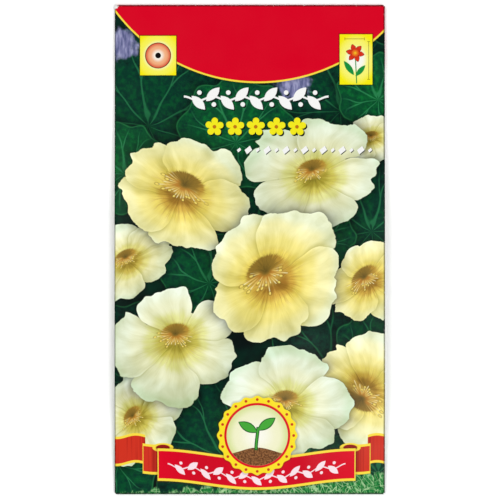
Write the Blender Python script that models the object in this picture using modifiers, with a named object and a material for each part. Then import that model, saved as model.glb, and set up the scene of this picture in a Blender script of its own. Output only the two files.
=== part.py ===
"""Sealed seed packet of coated paper with eight nasturtium seeds inside, lying on its back.

One printed sheet is cut to a blank, folded round and glued: front panel, side lap on the left edge,
back panel on the right edge, and a flap at each end that folds over the back. Three films of glue
hold the lap and the flaps. The frame has +Z up, +Y towards the packet's top edge and +X to the
right of the printed front. The origin is under the packet's centre, on the surface it lies on.
"""

import math
import random

import bmesh
import bpy

# Driving dimensions, in metres
PANEL_WIDTH = 0.080
PANEL_HEIGHT = 0.145
PAPER = 0.00012  # thickness of the coated paper
GLUE = 0.00004  # thickness of a dried glue film
SEAT = 0.00004  # clearance between two faces that lie on each other
LAP_WIDTH = 0.010
TOP_FLAP = 0.018
BOTTOM_FLAP = 0.014
SEED_COUNT = 8
SEED_LENGTH = 0.0072
SEED_WIDTH = 0.0066
SEED_HEIGHT = 0.0058

# How far the middle of each layer lies under the middle of the front panel, along the packet's edges
LAP_DROP = PAPER + SEAT
BACK_DROP = LAP_DROP + PAPER + GLUE + 2 * SEAT
FLAP_DROP = BACK_DROP + PAPER + GLUE + 2 * SEAT

# Fold radii at the middle of the paper
LEFT_RADIUS = LAP_DROP / 2
RIGHT_RADIUS = BACK_DROP / 2
END_RADIUS = FLAP_DROP / 2
FOLD_STEPS = 4

# Where the flat of the front panel ends and the folds begin
LEFT_X = -(PANEL_WIDTH / 2 - PAPER / 2 - LEFT_RADIUS)
RIGHT_X = PANEL_WIDTH / 2 - PAPER / 2 - RIGHT_RADIUS
END_Y = PANEL_HEIGHT / 2 - PAPER / 2 - END_RADIUS

# The blank's trimmed corners and ends
BACK_SHORT = 0.0011  # the back panel's free edge stops this far from the left fold
SIDE_NOTCH = 0.0005  # the side folds stop this far from the end folds
FLAP_NOTCH = 0.0010  # a flap starts this far in from the side folds
FLAP_TAPER = 0.0045  # each end of a flap slants in by this much
TAPER_ZONE = 0.008  # the stretch of a flap's end that takes the slant
LAP_TRIM = 0.004  # the lap stops this far short of the panel's ends

# The form that the seeds give the packet
DOME = 0.0054  # rise of the front panel over the seeds
DOME_SHARPNESS = 2.6
EDGE_LIFT = 0.0020  # how far the side edges curl up beside the seeds
FLAT_HALF = 0.020  # half the width of the back that lies flat
BOTTOM_RUN = 0.034  # the front climbs over this length from the bottom edge
TOP_RUN = 0.026
FILL_TOP = 0.004  # above this height on the packet the fill thins out
THIN_RUN = 0.042
THIN_SHARE = 0.20  # the share of the dome that is left in the empty upper half
FLAP_STEP_RUN = 0.004  # the back comes down off a flap's edge over this length
SEED_CENTRE = (0.0, -0.0225)
SEED_REACH = (0.0155, 0.021)  # half axes of the patch that the seeds' middles lie in
SEED_ROOM = 0.0083  # least distance between two seeds' middles
LUMP = 0.0006  # extra rise of the paper over each seed
LUMP_SPREAD = 0.0045

# Glue films
GLUE_WIDTH = 0.005
GLUE_INSET = 0.0025  # from the side fold, or from a flap's tip

# Mesh cells between the lines that the folds, the lap, the flaps and the glue need
MIDDLE_CELLS = 12
LENGTH_CELLS = 18

# Seeds
SEED_MERIDIANS = 28
SEED_PARALLELS = 9
SEED_RIDGES = 7
RIDGE_DEPTH = 0.055
KNOT_DEPTH = 0.025
FLAT_SIDE = 0.12  # how much less the seed's flattened side bulges


def clear_scene():
    for obj in list(bpy.data.objects):
        bpy.data.objects.remove(obj, do_unlink=True)


def ease(t):
    """0 below t = 0, 1 above t = 1, and a smooth rise between."""
    t = min(max(t, 0.0), 1.0)
    return t * t * (3 - 2 * t)


def between(start, end, cells):
    """Evenly spaced values from start to end, both ends included."""
    return [start + (end - start) * k / cells for k in range(cells + 1)]


def joined(*runs):
    """Runs of values end to end, each shared end kept once."""
    values = list(runs[0])
    for run in runs[1:]:
        values += run[1:]
    return values


def seed_spots():
    """Where each seed lies: scattered over an oval patch, none on another."""
    draw = random.Random(11)
    spots = []
    while len(spots) < SEED_COUNT:
        across, along = draw.uniform(-1, 1), draw.uniform(-1, 1)
        spot = (SEED_CENTRE[0] + across * SEED_REACH[0], SEED_CENTRE[1] + along * SEED_REACH[1])
        in_patch = math.hypot(across, along) < 1
        if in_patch and all(math.dist(spot, other) > SEED_ROOM for other in spots):
            spots.append(spot)
    return spots


SPOTS = seed_spots()


def fill(y):
    """Share of the full swell at this height on the packet: none at the ends, most over the seeds."""
    from_bottom = ease((y + END_Y) / BOTTOM_RUN)
    from_top = ease((END_Y - y) / TOP_RUN)
    thinning = THIN_SHARE + (1 - THIN_SHARE) * ease((FILL_TOP + THIN_RUN - y) / THIN_RUN)
    return from_bottom * from_top * thinning


def on_flap(y):
    """1 where the back panel lies on an end flap, 0 where it has come down to the surface."""
    past_top = y - (END_Y - TOP_FLAP)
    past_bottom = -y - (END_Y - BOTTOM_FLAP)
    return ease(1 + max(past_top, past_bottom) / FLAP_STEP_RUN)


def back_height(x, y):
    """Middle of the back panel's paper above the surface."""
    curl = ease((abs(x) - FLAT_HALF) / (RIGHT_X - FLAT_HALF) / 2) * 2
    return PAPER / 2 + (FLAP_DROP - BACK_DROP) * on_flap(y) + EDGE_LIFT * curl * fill(y)


def front_height(x, y):
    """Middle of the front panel's paper above the surface."""
    across = max(0.0, 1 - min(1.0, abs(x) / RIGHT_X) ** DOME_SHARPNESS)
    lumps = sum(
        math.exp(-((x - sx) ** 2 + (y - sy) ** 2) / (2 * LUMP_SPREAD**2)) for sx, sy in SPOTS
    )
    swell = (DOME * fill(y) + LUMP * lumps) * across
    return back_height(x, y) + BACK_DROP + swell


def lap_height(x, y):
    return back_height(x, y) + BACK_DROP - LAP_DROP


def flap_height(x, y):
    return back_height(x, y) - (FLAP_DROP - BACK_DROP)


def panel_columns():
    """Lines across a panel, from its left fold to its right fold."""
    steps = (0, FLAP_NOTCH, GLUE_INSET, GLUE_INSET + GLUE_WIDTH, LAP_WIDTH)
    left = [LEFT_X + step for step in steps]
    right = [RIGHT_X - step for step in reversed(steps)]
    return joined(left, between(left[-1], right[0], MIDDLE_CELLS), right)


def end_steps(flap):
    """Distances from an end fold to the lines that its flap and the glue under it need."""
    tip_glue = flap - GLUE_INSET
    return (0, SIDE_NOTCH, LAP_TRIM, tip_glue - GLUE_WIDTH, tip_glue, flap, flap + FLAP_STEP_RUN)


def panel_rows():
    """Lines up a panel, from its bottom fold to its top fold."""
    bottom = [-END_Y + step for step in end_steps(BOTTOM_FLAP)]
    top = [END_Y - step for step in reversed(end_steps(TOP_FLAP))]
    return joined(bottom, between(bottom[-1], top[0], LENGTH_CELLS), top)


def fold_lines(start, radius):
    """Lines through a half turn of the paper, measured along the sheet."""
    return [start + radius * math.pi * k / FOLD_STEPS for k in range(FOLD_STEPS + 1)]


def blank_columns():
    """Lines across the flat blank: lap, left fold, front panel, right fold, back panel."""
    columns = panel_columns()
    lap = [x for x in columns if x <= LEFT_X + LAP_WIDTH + PAPER / 2]
    left_fold = fold_lines(0, LEFT_RADIUS)
    before = [LEFT_X - left_fold[-1] - (x - LEFT_X) for x in reversed(lap)]
    left = [LEFT_X - s for s in reversed(left_fold)]
    right = fold_lines(RIGHT_X, RIGHT_RADIUS)
    free_edge = LEFT_X + BACK_SHORT
    back = [x for x in reversed(columns) if x > free_edge + PAPER] + [free_edge]
    after = [right[-1] + RIGHT_X - x for x in back]
    return joined(before, left, columns, right, after)


def blank_rows():
    """Lines up the flat blank: bottom flap, its fold, the panels, the top fold, top flap."""
    rows = panel_rows()
    half_turn = math.pi * END_RADIUS
    bottom = [y for y in rows if y <= -END_Y + BOTTOM_FLAP + PAPER / 2]
    top = [y for y in rows if y >= END_Y - TOP_FLAP - PAPER / 2]
    before = [-END_Y - half_turn - (y + END_Y) for y in reversed(bottom)]
    bottom_fold = [-v for v in reversed(fold_lines(END_Y, END_RADIUS))]
    top_fold = fold_lines(END_Y, END_RADIUS)
    after = [END_Y + half_turn + (END_Y - y) for y in reversed(top)]
    return joined(before, bottom_fold, rows, top_fold, after)


def in_blank(u, v):
    """True for a point of the flat sheet that the die leaves on the blank."""
    if abs(v) > END_Y:
        return LEFT_X + FLAP_NOTCH < u < RIGHT_X - FLAP_NOTCH
    if LEFT_X < u < RIGHT_X:
        return True
    if u < LEFT_X - math.pi * LEFT_RADIUS:
        return abs(v) < END_Y - LAP_TRIM
    return abs(v) < END_Y - SIDE_NOTCH


def tapered(x, share):
    """x moved inwards near a flap's ends, by the share of the full slant."""
    sign = math.copysign(1.0, x)
    edge = (RIGHT_X if x > 0 else -LEFT_X) - FLAP_NOTCH
    start = edge - TAPER_ZONE
    beyond = max(0.0, abs(x) - start) / TAPER_ZONE
    return x - sign * beyond * FLAP_TAPER * share


def folded(u, v):
    """The point in space of a point of the flat sheet."""
    if abs(v) > END_Y:
        sign = math.copysign(1.0, v)
        run = abs(v) - END_Y
        half_turn = math.pi * END_RADIUS
        if run < half_turn:
            turn = run / END_RADIUS
            rise = front_height(u, sign * END_Y) - END_RADIUS * (1 - math.cos(turn))
            return u, sign * (END_Y + END_RADIUS * math.sin(turn)), rise
        depth = TOP_FLAP if v > 0 else BOTTOM_FLAP
        y = sign * (END_Y - (run - half_turn))
        x = tapered(u, (run - half_turn) / depth)
        return x, y, flap_height(x, y)
    if u > RIGHT_X:
        run = u - RIGHT_X
        if run < math.pi * RIGHT_RADIUS:
            turn = run / RIGHT_RADIUS
            rise = front_height(RIGHT_X, v) - RIGHT_RADIUS * (1 - math.cos(turn))
            return RIGHT_X + RIGHT_RADIUS * math.sin(turn), v, rise
        x = RIGHT_X - (run - math.pi * RIGHT_RADIUS)
        return x, v, back_height(x, v)
    if u < LEFT_X:
        run = LEFT_X - u
        if run < math.pi * LEFT_RADIUS:
            turn = run / LEFT_RADIUS
            rise = front_height(LEFT_X, v) - LEFT_RADIUS * (1 - math.cos(turn))
            return LEFT_X - LEFT_RADIUS * math.sin(turn), v, rise
        x = LEFT_X + (run - math.pi * LEFT_RADIUS)
        return x, v, lap_height(x, v)
    return u, v, front_height(u, v)


def split_alike(bm):
    """Splits each four-sided face from its near left to its far right corner, so that sheets which
    lie on each other bend along the same lines."""
    for face in list(bm.faces):
        corners = list(face.verts)
        near = min(range(4), key=lambda k: corners[k].co.x + corners[k].co.y)
        far = max(range(4), key=lambda k: corners[k].co.x + corners[k].co.y)
        if (far - near) % 4 != 2:
            near, far = 0, 2
        bmesh.utils.face_split(face, corners[near], corners[far])


def grid_object(name, columns, rows, keep, place, thickness, collection):
    """A sheet on the given lines, trimmed by keep, put in space by place and given its thickness."""
    bm = bmesh.new()
    bmesh.ops.create_grid(bm, x_segments=len(columns) - 1, y_segments=len(rows) - 1, size=0.5)
    flat = {}
    for vert in bm.verts:
        i = round((vert.co.x + 0.5) * (len(columns) - 1))
        j = round((vert.co.y + 0.5) * (len(rows) - 1))
        flat[vert] = (columns[i], rows[j])
    outside = []
    for face in bm.faces:
        centre = [sum(flat[vert][axis] for vert in face.verts) / 4 for axis in (0, 1)]
        if not keep(*centre):
            outside.append(face)
    bmesh.ops.delete(bm, geom=outside, context="FACES")
    for vert in bm.verts:
        vert.co = place(*flat[vert])
    split_alike(bm)
    mesh = bpy.data.meshes.new(name)
    bm.to_mesh(mesh)
    bm.free()
    obj = bpy.data.objects.new(name, mesh)
    collection.objects.link(obj)
    wall = obj.modifiers.new("thickness", "SOLIDIFY")
    wall.thickness = thickness
    wall.offset = 0
    wall.use_even_offset = True
    return obj


def material(name, colour, roughness):
    finish = bpy.data.materials.new(name)
    finish.use_nodes = True
    shader = finish.node_tree.nodes["Principled BSDF"]
    shader.inputs["Base Color"].default_value = (*colour, 1.0)
    shader.inputs["Roughness"].default_value = roughness
    shader.inputs["Metallic"].default_value = 0.0
    return finish


def printed_sleeve(collection):
    """The one folded sheet, red at the head of the front, green below it and white on the back."""
    sleeve = grid_object(
        "paper_sleeve", blank_columns(), blank_rows(), in_blank, folded, PAPER, collection
    )
    for finish in (
        material("print_green", (0.004, 0.075, 0.026), 0.35),
        material("print_red", (0.72, 0.0, 0.017), 0.35),
        material("print_white", (0.80, 0.79, 0.74), 0.40),
    ):
        sleeve.data.materials.append(finish)
    header_bottom = 0.055
    for face in sleeve.data.polygons:
        on_front = face.normal.z > 0 and LEFT_X < face.center.x < RIGHT_X
        if not on_front:
            face.material_index = 2
        elif face.center.y > header_bottom:
            face.material_index = 1
    sleeve.data.shade_smooth()
    sleeve.data.set_sharp_from_angle(angle=math.radians(40))
    return sleeve


def glue_film(name, columns, rows, place, collection, finish):
    film = grid_object(name, columns, rows, lambda u, v: True, place, GLUE, collection)
    film.data.materials.append(finish)
    return film


def glue_films(collection):
    """The side seam's film between lap and back, and each flap's film between back and flap."""
    finish = material("dried_glue", (0.78, 0.72, 0.55), 0.3)
    columns, rows = panel_columns(), panel_rows()
    seam_drop = (BACK_DROP - LAP_DROP) / 2

    def in_seam(u, v):
        return u, v, back_height(u, v) + seam_drop

    def under_back(u, v):
        return u, v, back_height(u, v) - seam_drop

    seam_start = LEFT_X + GLUE_INSET
    seam_columns = [seam_start, seam_start + GLUE_WIDTH]
    lap_end = END_Y - LAP_TRIM
    seam_rows = [y for y in rows if abs(y) < lap_end - PAPER]
    glue_film("side_seam_glue", seam_columns, seam_rows, in_seam, collection, finish)
    reach = RIGHT_X - LAP_WIDTH
    flap_columns = [x for x in columns if abs(x) < reach + LAP_DROP]
    for name, sign, depth in (
        ("top_flap_glue", 1, TOP_FLAP),
        ("bottom_flap_glue", -1, BOTTOM_FLAP),
    ):
        near_tip = END_Y - depth + GLUE_INSET
        film_rows = sorted([sign * near_tip, sign * (near_tip + GLUE_WIDTH)])
        glue_film(name, flap_columns, film_rows, under_back, collection, finish)


def seed(number, spot, collection, finish):
    """A corky three-sided seed: an egg with one flattened side, ridged from end to end."""
    draw = random.Random(40 + number)
    bm = bmesh.new()
    bmesh.ops.create_uvsphere(bm, u_segments=SEED_MERIDIANS, v_segments=SEED_PARALLELS, radius=1.0)
    phase = draw.uniform(0, 2 * math.pi)
    wander = draw.uniform(0.5, 0.9)
    size = draw.uniform(0.94, 1.04)
    half = (SEED_LENGTH / 2 * size, SEED_WIDTH / 2 * size, SEED_HEIGHT / 2 * size)
    for vert in bm.verts:
        along, side, up = vert.co.z, vert.co.x, vert.co.y
        around = math.atan2(up, side)
        belly = math.sqrt(max(0.0, 1 - along * along))
        ridge = math.cos(SEED_RIDGES * around + phase + wander * math.sin(2.4 * along + phase))
        knot = math.sin(5.1 * along + 2 * around + phase)
        swell = 1 + belly * (RIDGE_DEPTH * ridge + KNOT_DEPTH * knot)
        keel = 1 - FLAT_SIDE * belly * ease(-up)
        length = half[0] * (1 + KNOT_DEPTH * knot)
        vert.co = (along * length, side * half[1] * swell, up * half[2] * swell * keel)
    lowest = min(vert.co.z for vert in bm.verts)
    bmesh.ops.translate(bm, verts=bm.verts, vec=(0, 0, -lowest))
    mesh = bpy.data.meshes.new(f"seed_{number}")
    bm.to_mesh(mesh)
    bm.free()
    mesh.shade_smooth()
    obj = bpy.data.objects.new(f"seed_{number}", mesh)
    obj.location = (*spot, PAPER + SEAT)
    obj.rotation_euler = (0, 0, draw.uniform(0, math.pi))
    obj.data.materials.append(finish)
    collection.objects.link(obj)
    return obj


def main():
    clear_scene()
    packet = bpy.data.collections.new("seed_packet")
    bpy.context.scene.collection.children.link(packet)
    printed_sleeve(packet)
    glue_films(packet)
    finish = material("seed_husk", (0.36, 0.25, 0.13), 0.85)
    for number, spot in enumerate(SPOTS, start=1):
        seed(number, spot, packet, finish)


main()
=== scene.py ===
import math
import random

import bmesh
import bpy
import numpy as np
from mathutils import Matrix, Vector, noise


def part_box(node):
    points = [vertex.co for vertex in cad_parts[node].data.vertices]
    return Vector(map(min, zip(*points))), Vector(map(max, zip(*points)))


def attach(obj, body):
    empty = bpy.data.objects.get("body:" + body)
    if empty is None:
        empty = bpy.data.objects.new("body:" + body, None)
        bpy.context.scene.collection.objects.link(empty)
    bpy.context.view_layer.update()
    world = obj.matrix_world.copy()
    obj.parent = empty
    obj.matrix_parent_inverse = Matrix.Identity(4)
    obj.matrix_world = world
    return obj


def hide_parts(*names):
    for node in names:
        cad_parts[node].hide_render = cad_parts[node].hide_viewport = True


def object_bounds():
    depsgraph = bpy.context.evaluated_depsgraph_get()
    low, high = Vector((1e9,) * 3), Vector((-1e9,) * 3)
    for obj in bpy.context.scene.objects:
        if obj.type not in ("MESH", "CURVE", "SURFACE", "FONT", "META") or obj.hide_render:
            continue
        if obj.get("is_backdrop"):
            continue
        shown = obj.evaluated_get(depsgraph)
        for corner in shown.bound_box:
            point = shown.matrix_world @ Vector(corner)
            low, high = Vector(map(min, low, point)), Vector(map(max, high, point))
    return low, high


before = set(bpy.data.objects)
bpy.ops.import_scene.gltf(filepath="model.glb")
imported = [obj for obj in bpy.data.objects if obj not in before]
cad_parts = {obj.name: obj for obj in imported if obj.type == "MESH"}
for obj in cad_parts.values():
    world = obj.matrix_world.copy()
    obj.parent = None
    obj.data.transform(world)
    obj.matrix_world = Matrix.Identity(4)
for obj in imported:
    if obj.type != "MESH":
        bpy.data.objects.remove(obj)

# A sealed seed packet lying on its back: one printed sheet of paper, folded and glued, with seeds inside.
# Places and sizes are in metres. The print is laid out in millimetres, on the flat sheet before folding.

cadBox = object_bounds()
scene = bpy.context.scene
scene.view_settings.view_transform = "Standard"
mm = 0.001

studio = {
    "cameraHeight": 0.8236,
    "lens": 200,
    "aim": (0.00006, -0.00013),
    "keyPlace": (0.42, -0.38, 0.80),  # high, so that the shadow on the left stays narrow
    "keyPower": 5.2,
    "fillPlace": (-0.55, 0.34, 0.78),
    "fillPower": 4.0,
    "lampSize": 0.6,
    "domeLight": 0.88,
    "zenithLight": 0.05,  # the dome is dimmer overhead, so the varnish doesn't mirror it to the camera
    "horizonLight": 0.32,
    "horizonZone": (0.18, 0.55),
    "zenithZone": (0.55, 0.97),
    "floorColour": (0.97, 0.97, 0.97),
    "floorRoughness": 0.9,
    "floorShine": 0.1,
    "floorHalf": 1.5,
    "floorLevel": -0.00005,
}


def screenInk(red, green, blue):  # a colour as seen on screen, 0 to 255, on the shader's own scale
    shares = [value / 255 for value in (red, green, blue)]
    return tuple(s / 12.92 if s < 0.04045 else ((s + 0.055) / 1.055) ** 2.4 for s in shares) + (1.0,)


def addObject(name, data):
    thing = bpy.data.objects.new(name, data)
    scene.collection.objects.link(thing)
    return thing


def addMesh(name, bm, materials):
    mesh = bpy.data.meshes.new(name)
    bm.to_mesh(mesh)
    bm.free()
    for material in materials:
        mesh.materials.append(material)
    return addObject(name, mesh)


def makeCamera():
    lensData = bpy.data.cameras.new("packshotCamera")
    lensData.lens = studio["lens"]
    lensData.sensor_width = 36
    lensData.clip_start = 0.01
    camera = addObject("packshotCamera", lensData)
    camera.location = (*studio["aim"], studio["cameraHeight"])
    scene.camera = camera
    print("camera: straight above the packet")


makeCamera()

# The sheet. The same sizes shape the solids, so the paper, the glue and the seeds stay where they are.
packet = {
    "width": 0.080,
    "height": 0.145,
    "paper": 0.00012,
    "glue": 0.00004,
    "seat": 0.00004,
    "lap": 0.010,
    "topFlap": 0.018,
    "bottomFlap": 0.014,
    "dome": 0.0054,
    "domeSharpness": 2.6,
    "edgeLift": 0.0020,
    "flatHalf": 0.020,
    "bottomRun": 0.034,
    "topRun": 0.026,
    "fillTop": 0.004,
    "thinRun": 0.042,
    "thinShare": 0.20,
    "flapStepRun": 0.004,
    "lump": 0.0006,
    "lumpSpread": 0.0045,
    "backShort": 0.0011,
    "sideNotch": 0.00005,
    "flapNotch": 0.00012,
    "flapTaper": 0.0045,
    "taperZone": 0.008,
    "lapTrim": 0.004,
    "tautness": 0.5,  # how far the paper goes from a smooth dome to a tent over the seeds
    "tentRoom": 0.00035,
    "tentReach": (0.033, 0.046),
    "tentRim": 18,
    "tentUneven": 0.35,
    "tentFade": 0.25,
    "creaseBlur": 0.0013,
    "pucker": 0.00016,  # low folds in the paper that run out from the filled part
    "puckers": 11,
    "puckerSharpness": 2.5,
    "puckerRing": (1.02, 0.26),  # where they stand highest and how far they run, in tent reaches
    "puckerStops": (0.007, 0.009),  # how far before the side and end folds they die away
    "tablePoints": (161, 291),
    "cell": 0.00092,
    "backCells": 2.0,  # how much coarser the back and the flaps are
    "flapCells": 1.6,
    "backMargin": 0.004,
    "foldCells": 6,
    "sharpAngle": 50,
}
seeds = {
    "count": 8,
    "scatter": 11,
    "length": 0.0072,
    "width": 0.0066,
    "height": 0.0058,
    "centre": (0.0, -0.0225),
    "reach": (0.0155, 0.021),
    "room": 0.0083,
    "ridges": 7,
    "ridgeDepth": 0.055,
    "knotDepth": 0.025,
    "flatSide": 0.12,
    "meridians": 96,
    "parallels": 44,
    "draw": 40,
    "ridgeWander": (0.5, 0.9),
    "sizes": (0.94, 1.04),
    "wrinkle": 0.010,
    "wrinkleScale": 4.2,
}

lapDrop = packet["paper"] + packet["seat"]
backDrop = lapDrop + packet["paper"] + packet["glue"] + 2 * packet["seat"]
flapDrop = backDrop + packet["paper"] + packet["glue"] + 2 * packet["seat"]
leftRadius, rightRadius, endRadius = lapDrop / 2, backDrop / 2, flapDrop / 2
leftX = -(packet["width"] / 2 - packet["paper"] / 2 - leftRadius)
rightX = packet["width"] / 2 - packet["paper"] / 2 - rightRadius
endY = packet["height"] / 2 - packet["paper"] / 2 - endRadius


def ease(t):
    t = np.clip(t, 0.0, 1.0)
    return t * t * (3 - 2 * t)


def scatterSeeds():
    draw = random.Random(seeds["scatter"])
    (middleX, middleY), (reachX, reachY) = seeds["centre"], seeds["reach"]
    spots = []
    while len(spots) < seeds["count"]:
        across, along = draw.uniform(-1, 1), draw.uniform(-1, 1)
        spot = (middleX + across * reachX, middleY + along * reachY)
        clear = all(math.dist(spot, other) > seeds["room"] for other in spots)
        if clear and math.hypot(across, along) < 1:
            spots.append(spot)
    return spots


seedSpots = scatterSeeds()


def fillAt(y):
    thinning = ease((packet["fillTop"] + packet["thinRun"] - y) / packet["thinRun"])
    share = packet["thinShare"] + (1 - packet["thinShare"]) * thinning
    return ease((y + endY) / packet["bottomRun"]) * ease((endY - y) / packet["topRun"]) * share


def backHeight(x, y):
    overTop = y - (endY - packet["topFlap"])
    overBottom = -y - (endY - packet["bottomFlap"])
    onFlap = ease(1 + np.maximum(overTop, overBottom) / packet["flapStepRun"])
    curl = ease((np.abs(x) - packet["flatHalf"]) / (rightX - packet["flatHalf"]) / 2) * 2
    return packet["paper"] / 2 + (flapDrop - backDrop) * onFlap + packet["edgeLift"] * curl * fillAt(y)


def domeHeight(x, y):  # the front as a smooth pillow with a low lump over each seed
    across = np.maximum(0, 1 - np.minimum(1, np.abs(x) / rightX) ** packet["domeSharpness"])
    spread = 2 * packet["lumpSpread"] ** 2
    lumps = sum(np.exp(-((x - sx) ** 2 + (y - sy) ** 2) / spread) for sx, sy in seedSpots)
    swell = (packet["dome"] * fillAt(y) + packet["lump"] * lumps) * across
    return backHeight(x, y) + backDrop + swell


def tentPlanes():  # the facets of paper pulled tight from seed to seed and down to the pillow round them
    bm = bmesh.new()
    for number, (x, y) in enumerate(seedSpots, start=1):
        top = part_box(f"seed_{number}")[1].z + packet["tentRoom"] + packet["paper"] / 2
        bm.verts.new((x, y, top))
    for k in range(packet["tentRim"]):
        angle = 2 * math.pi * (k + packet["tentUneven"] * math.sin(5.3 * k)) / packet["tentRim"]
        x = seeds["centre"][0] + packet["tentReach"][0] * math.cos(angle)
        y = seeds["centre"][1] + packet["tentReach"][1] * math.sin(angle)
        bm.verts.new((x, y, float(domeHeight(x, y))))
    bmesh.ops.convex_hull(bm, input=bm.verts)
    bm.normal_update()
    planes = []
    for face in bm.faces:
        if face.normal.z > 0.2:
            slopeX, slopeY = -face.normal.x / face.normal.z, -face.normal.y / face.normal.z
            corner = face.verts[0].co
            planes.append((slopeX, slopeY, corner.z - slopeX * corner.x - slopeY * corner.y))
    bm.free()
    return planes


def blurred(heights, stepX, stepY, reach):  # a soft crease in place of each sharp one
    for axis, step in ((0, stepY), (1, stepX)):
        half = int(3 * reach / step) + 1
        kernel = np.exp(-((np.arange(-half, half + 1) * step) ** 2) / (2 * reach**2))
        kernel /= kernel.sum()
        padded = np.pad(heights, [(half, half) if a == axis else (0, 0) for a in (0, 1)], mode="edge")
        heights = np.apply_along_axis(lambda line: np.convolve(line, kernel, mode="valid"), axis, padded)
    return heights


def frontTable():  # what is added to the smooth front, on an even grid that frontHeight reads between points
    columns, rows = packet["tablePoints"]
    xs = np.linspace(leftX, rightX, columns)
    ys = np.linspace(-endY, endY, rows)
    x, y = np.meshgrid(xs, ys)
    tent = np.min([a * x + b * y + c for a, b, c in tentPlanes()], axis=0)
    (middleX, middleY), (reachX, reachY) = seeds["centre"], packet["tentReach"]
    outward = np.hypot((x - middleX) / reachX, (y - middleY) / reachY)
    inside = ease((1.0 - outward) / packet["tentFade"])
    change = packet["tautness"] * inside * (tent - domeHeight(x, y))
    change = blurred(change, xs[1] - xs[0], ys[1] - ys[0], packet["creaseBlur"])
    angle = np.arctan2(y - middleY, (x - middleX) * 1.3)
    wave = np.sin(packet["puckers"] * angle + 1.4 * np.sin(2 * angle + 0.6) + 2.2 * outward)
    crest = (0.5 + 0.5 * wave) ** packet["puckerSharpness"]
    highest, spread = packet["puckerRing"]
    sideStop, endStop = packet["puckerStops"]
    ring = np.exp(-(((outward - highest) / spread) ** 2))
    clearOfFolds = ease((rightX - np.abs(x)) / sideStop) * ease((endY - np.abs(y)) / endStop)
    return xs, ys, change + packet["pucker"] * crest * ring * clearOfFolds


frontXs, frontYs, frontChange = frontTable()


def frontHeight(x, y):
    column = np.clip((x - frontXs[0]) / (frontXs[1] - frontXs[0]), 0, len(frontXs) - 1.001)
    row = np.clip((y - frontYs[0]) / (frontYs[1] - frontYs[0]), 0, len(frontYs) - 1.001)
    i, j = row.astype(int), column.astype(int)
    s, t = row - i, column - j
    low = frontChange[i, j] * (1 - t) + frontChange[i, j + 1] * t
    high = frontChange[i + 1, j] * (1 - t) + frontChange[i + 1, j + 1] * t
    return domeHeight(x, y) + low * (1 - s) + high * s


def foldedSheet(u, v):  # where each point of the flat sheet lies once the packet is folded
    x, y, z = u.copy(), v.copy(), frontHeight(np.clip(u, leftX, rightX), np.clip(v, -endY, endY))

    def turn(where, run, radius, edgeHeight):  # round a fold, by half a turn
        angle = run[where] / radius
        z[where] = edgeHeight[where] - radius * (1 - np.cos(angle))
        return radius * np.sin(angle)

    sides = ((1, rightX, rightRadius, 0.0), (-1, leftX, leftRadius, backDrop - lapDrop))
    for side, edge, radius, rise in sides:
        run = side * (u - edge)
        around, onBack = (run > 0) & (run < math.pi * radius), run >= math.pi * radius
        edgeHeight = frontHeight(np.full_like(u, edge), np.clip(v, -endY, endY))
        x[around] = edge + side * turn(around, run, radius, edgeHeight)
        x[onBack] = edge - side * (run[onBack] - math.pi * radius)
        z[onBack] = backHeight(x[onBack], v[onBack]) + rise

    sign = np.sign(v)
    past = np.abs(v) - endY
    aroundEnd = (past > 0) & (past < math.pi * endRadius)
    endHeight = frontHeight(np.clip(u, leftX, rightX), sign * endY)
    y[aroundEnd] = sign[aroundEnd] * (endY + turn(aroundEnd, past, endRadius, endHeight))
    onFlap = past >= math.pi * endRadius
    run = past[onFlap] - math.pi * endRadius
    depth = np.where(v[onFlap] > 0, packet["topFlap"], packet["bottomFlap"])
    y[onFlap] = sign[onFlap] * (endY - run)
    edge = np.where(u[onFlap] > 0, rightX, -leftX) - packet["flapNotch"]
    beyond = np.maximum(0, np.abs(u[onFlap]) - edge + packet["taperZone"]) / packet["taperZone"]
    x[onFlap] = u[onFlap] - np.sign(u[onFlap]) * beyond * packet["flapTaper"] * run / depth
    z[onFlap] = backHeight(x[onFlap], y[onFlap]) - (flapDrop - backDrop)
    return x, y, z


def steps(start, end, cell):  # evenly spaced lines, both ends included
    count = max(1, round(abs(end - start) / cell))
    return list(np.linspace(start, end, count + 1))


def linesThrough(stops, cell):
    lines = [stops[0]]
    for start, end in zip(stops, stops[1:]):
        lines += steps(start, end, cell)[1:]
    return lines


def foldLines(start, radius, direction=1):
    turns = packet["foldCells"]
    return [start + direction * math.pi * radius * k / turns for k in range(1, turns + 1)]


def sheetColumns():
    lap, notch = packet["lap"], packet["flapNotch"]
    stops = [leftX, leftX + notch, leftX + lap, rightX - lap, rightX - notch, rightX]
    panel = linesThrough(stops, packet["cell"])
    leftFold = foldLines(leftX, leftRadius, -1)
    rightFold = foldLines(rightX, rightRadius)
    lapLines = linesThrough([leftFold[-1], leftFold[-1] - lap], packet["cell"])
    backWidth = rightX - leftX - packet["backShort"]
    backStart = rightFold[-1]
    stops = [backStart, backStart + packet["backMargin"], backStart + backWidth]
    backLines = linesThrough(stops, packet["backCells"] * packet["cell"])
    return lapLines[:0:-1] + leftFold[::-1] + panel + rightFold + backLines[1:]


def sheetRows():
    notch, trim = packet["sideNotch"], packet["lapTrim"]
    top, bottom = endY - packet["topFlap"], -endY + packet["bottomFlap"]
    ends = [-endY, -endY + notch, -endY + trim, bottom, top, endY - trim, endY - notch, endY]
    panel = linesThrough(ends, packet["cell"])
    topFold = foldLines(endY, endRadius)
    bottomFold = foldLines(-endY, endRadius, -1)
    cell = packet["flapCells"] * packet["cell"]
    topLines = linesThrough([topFold[-1], topFold[-1] + packet["topFlap"]], cell)
    bottomLines = linesThrough([bottomFold[-1], bottomFold[-1] - packet["bottomFlap"]], cell)
    return bottomLines[:0:-1] + bottomFold[::-1] + panel + topFold + topLines[1:]


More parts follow.
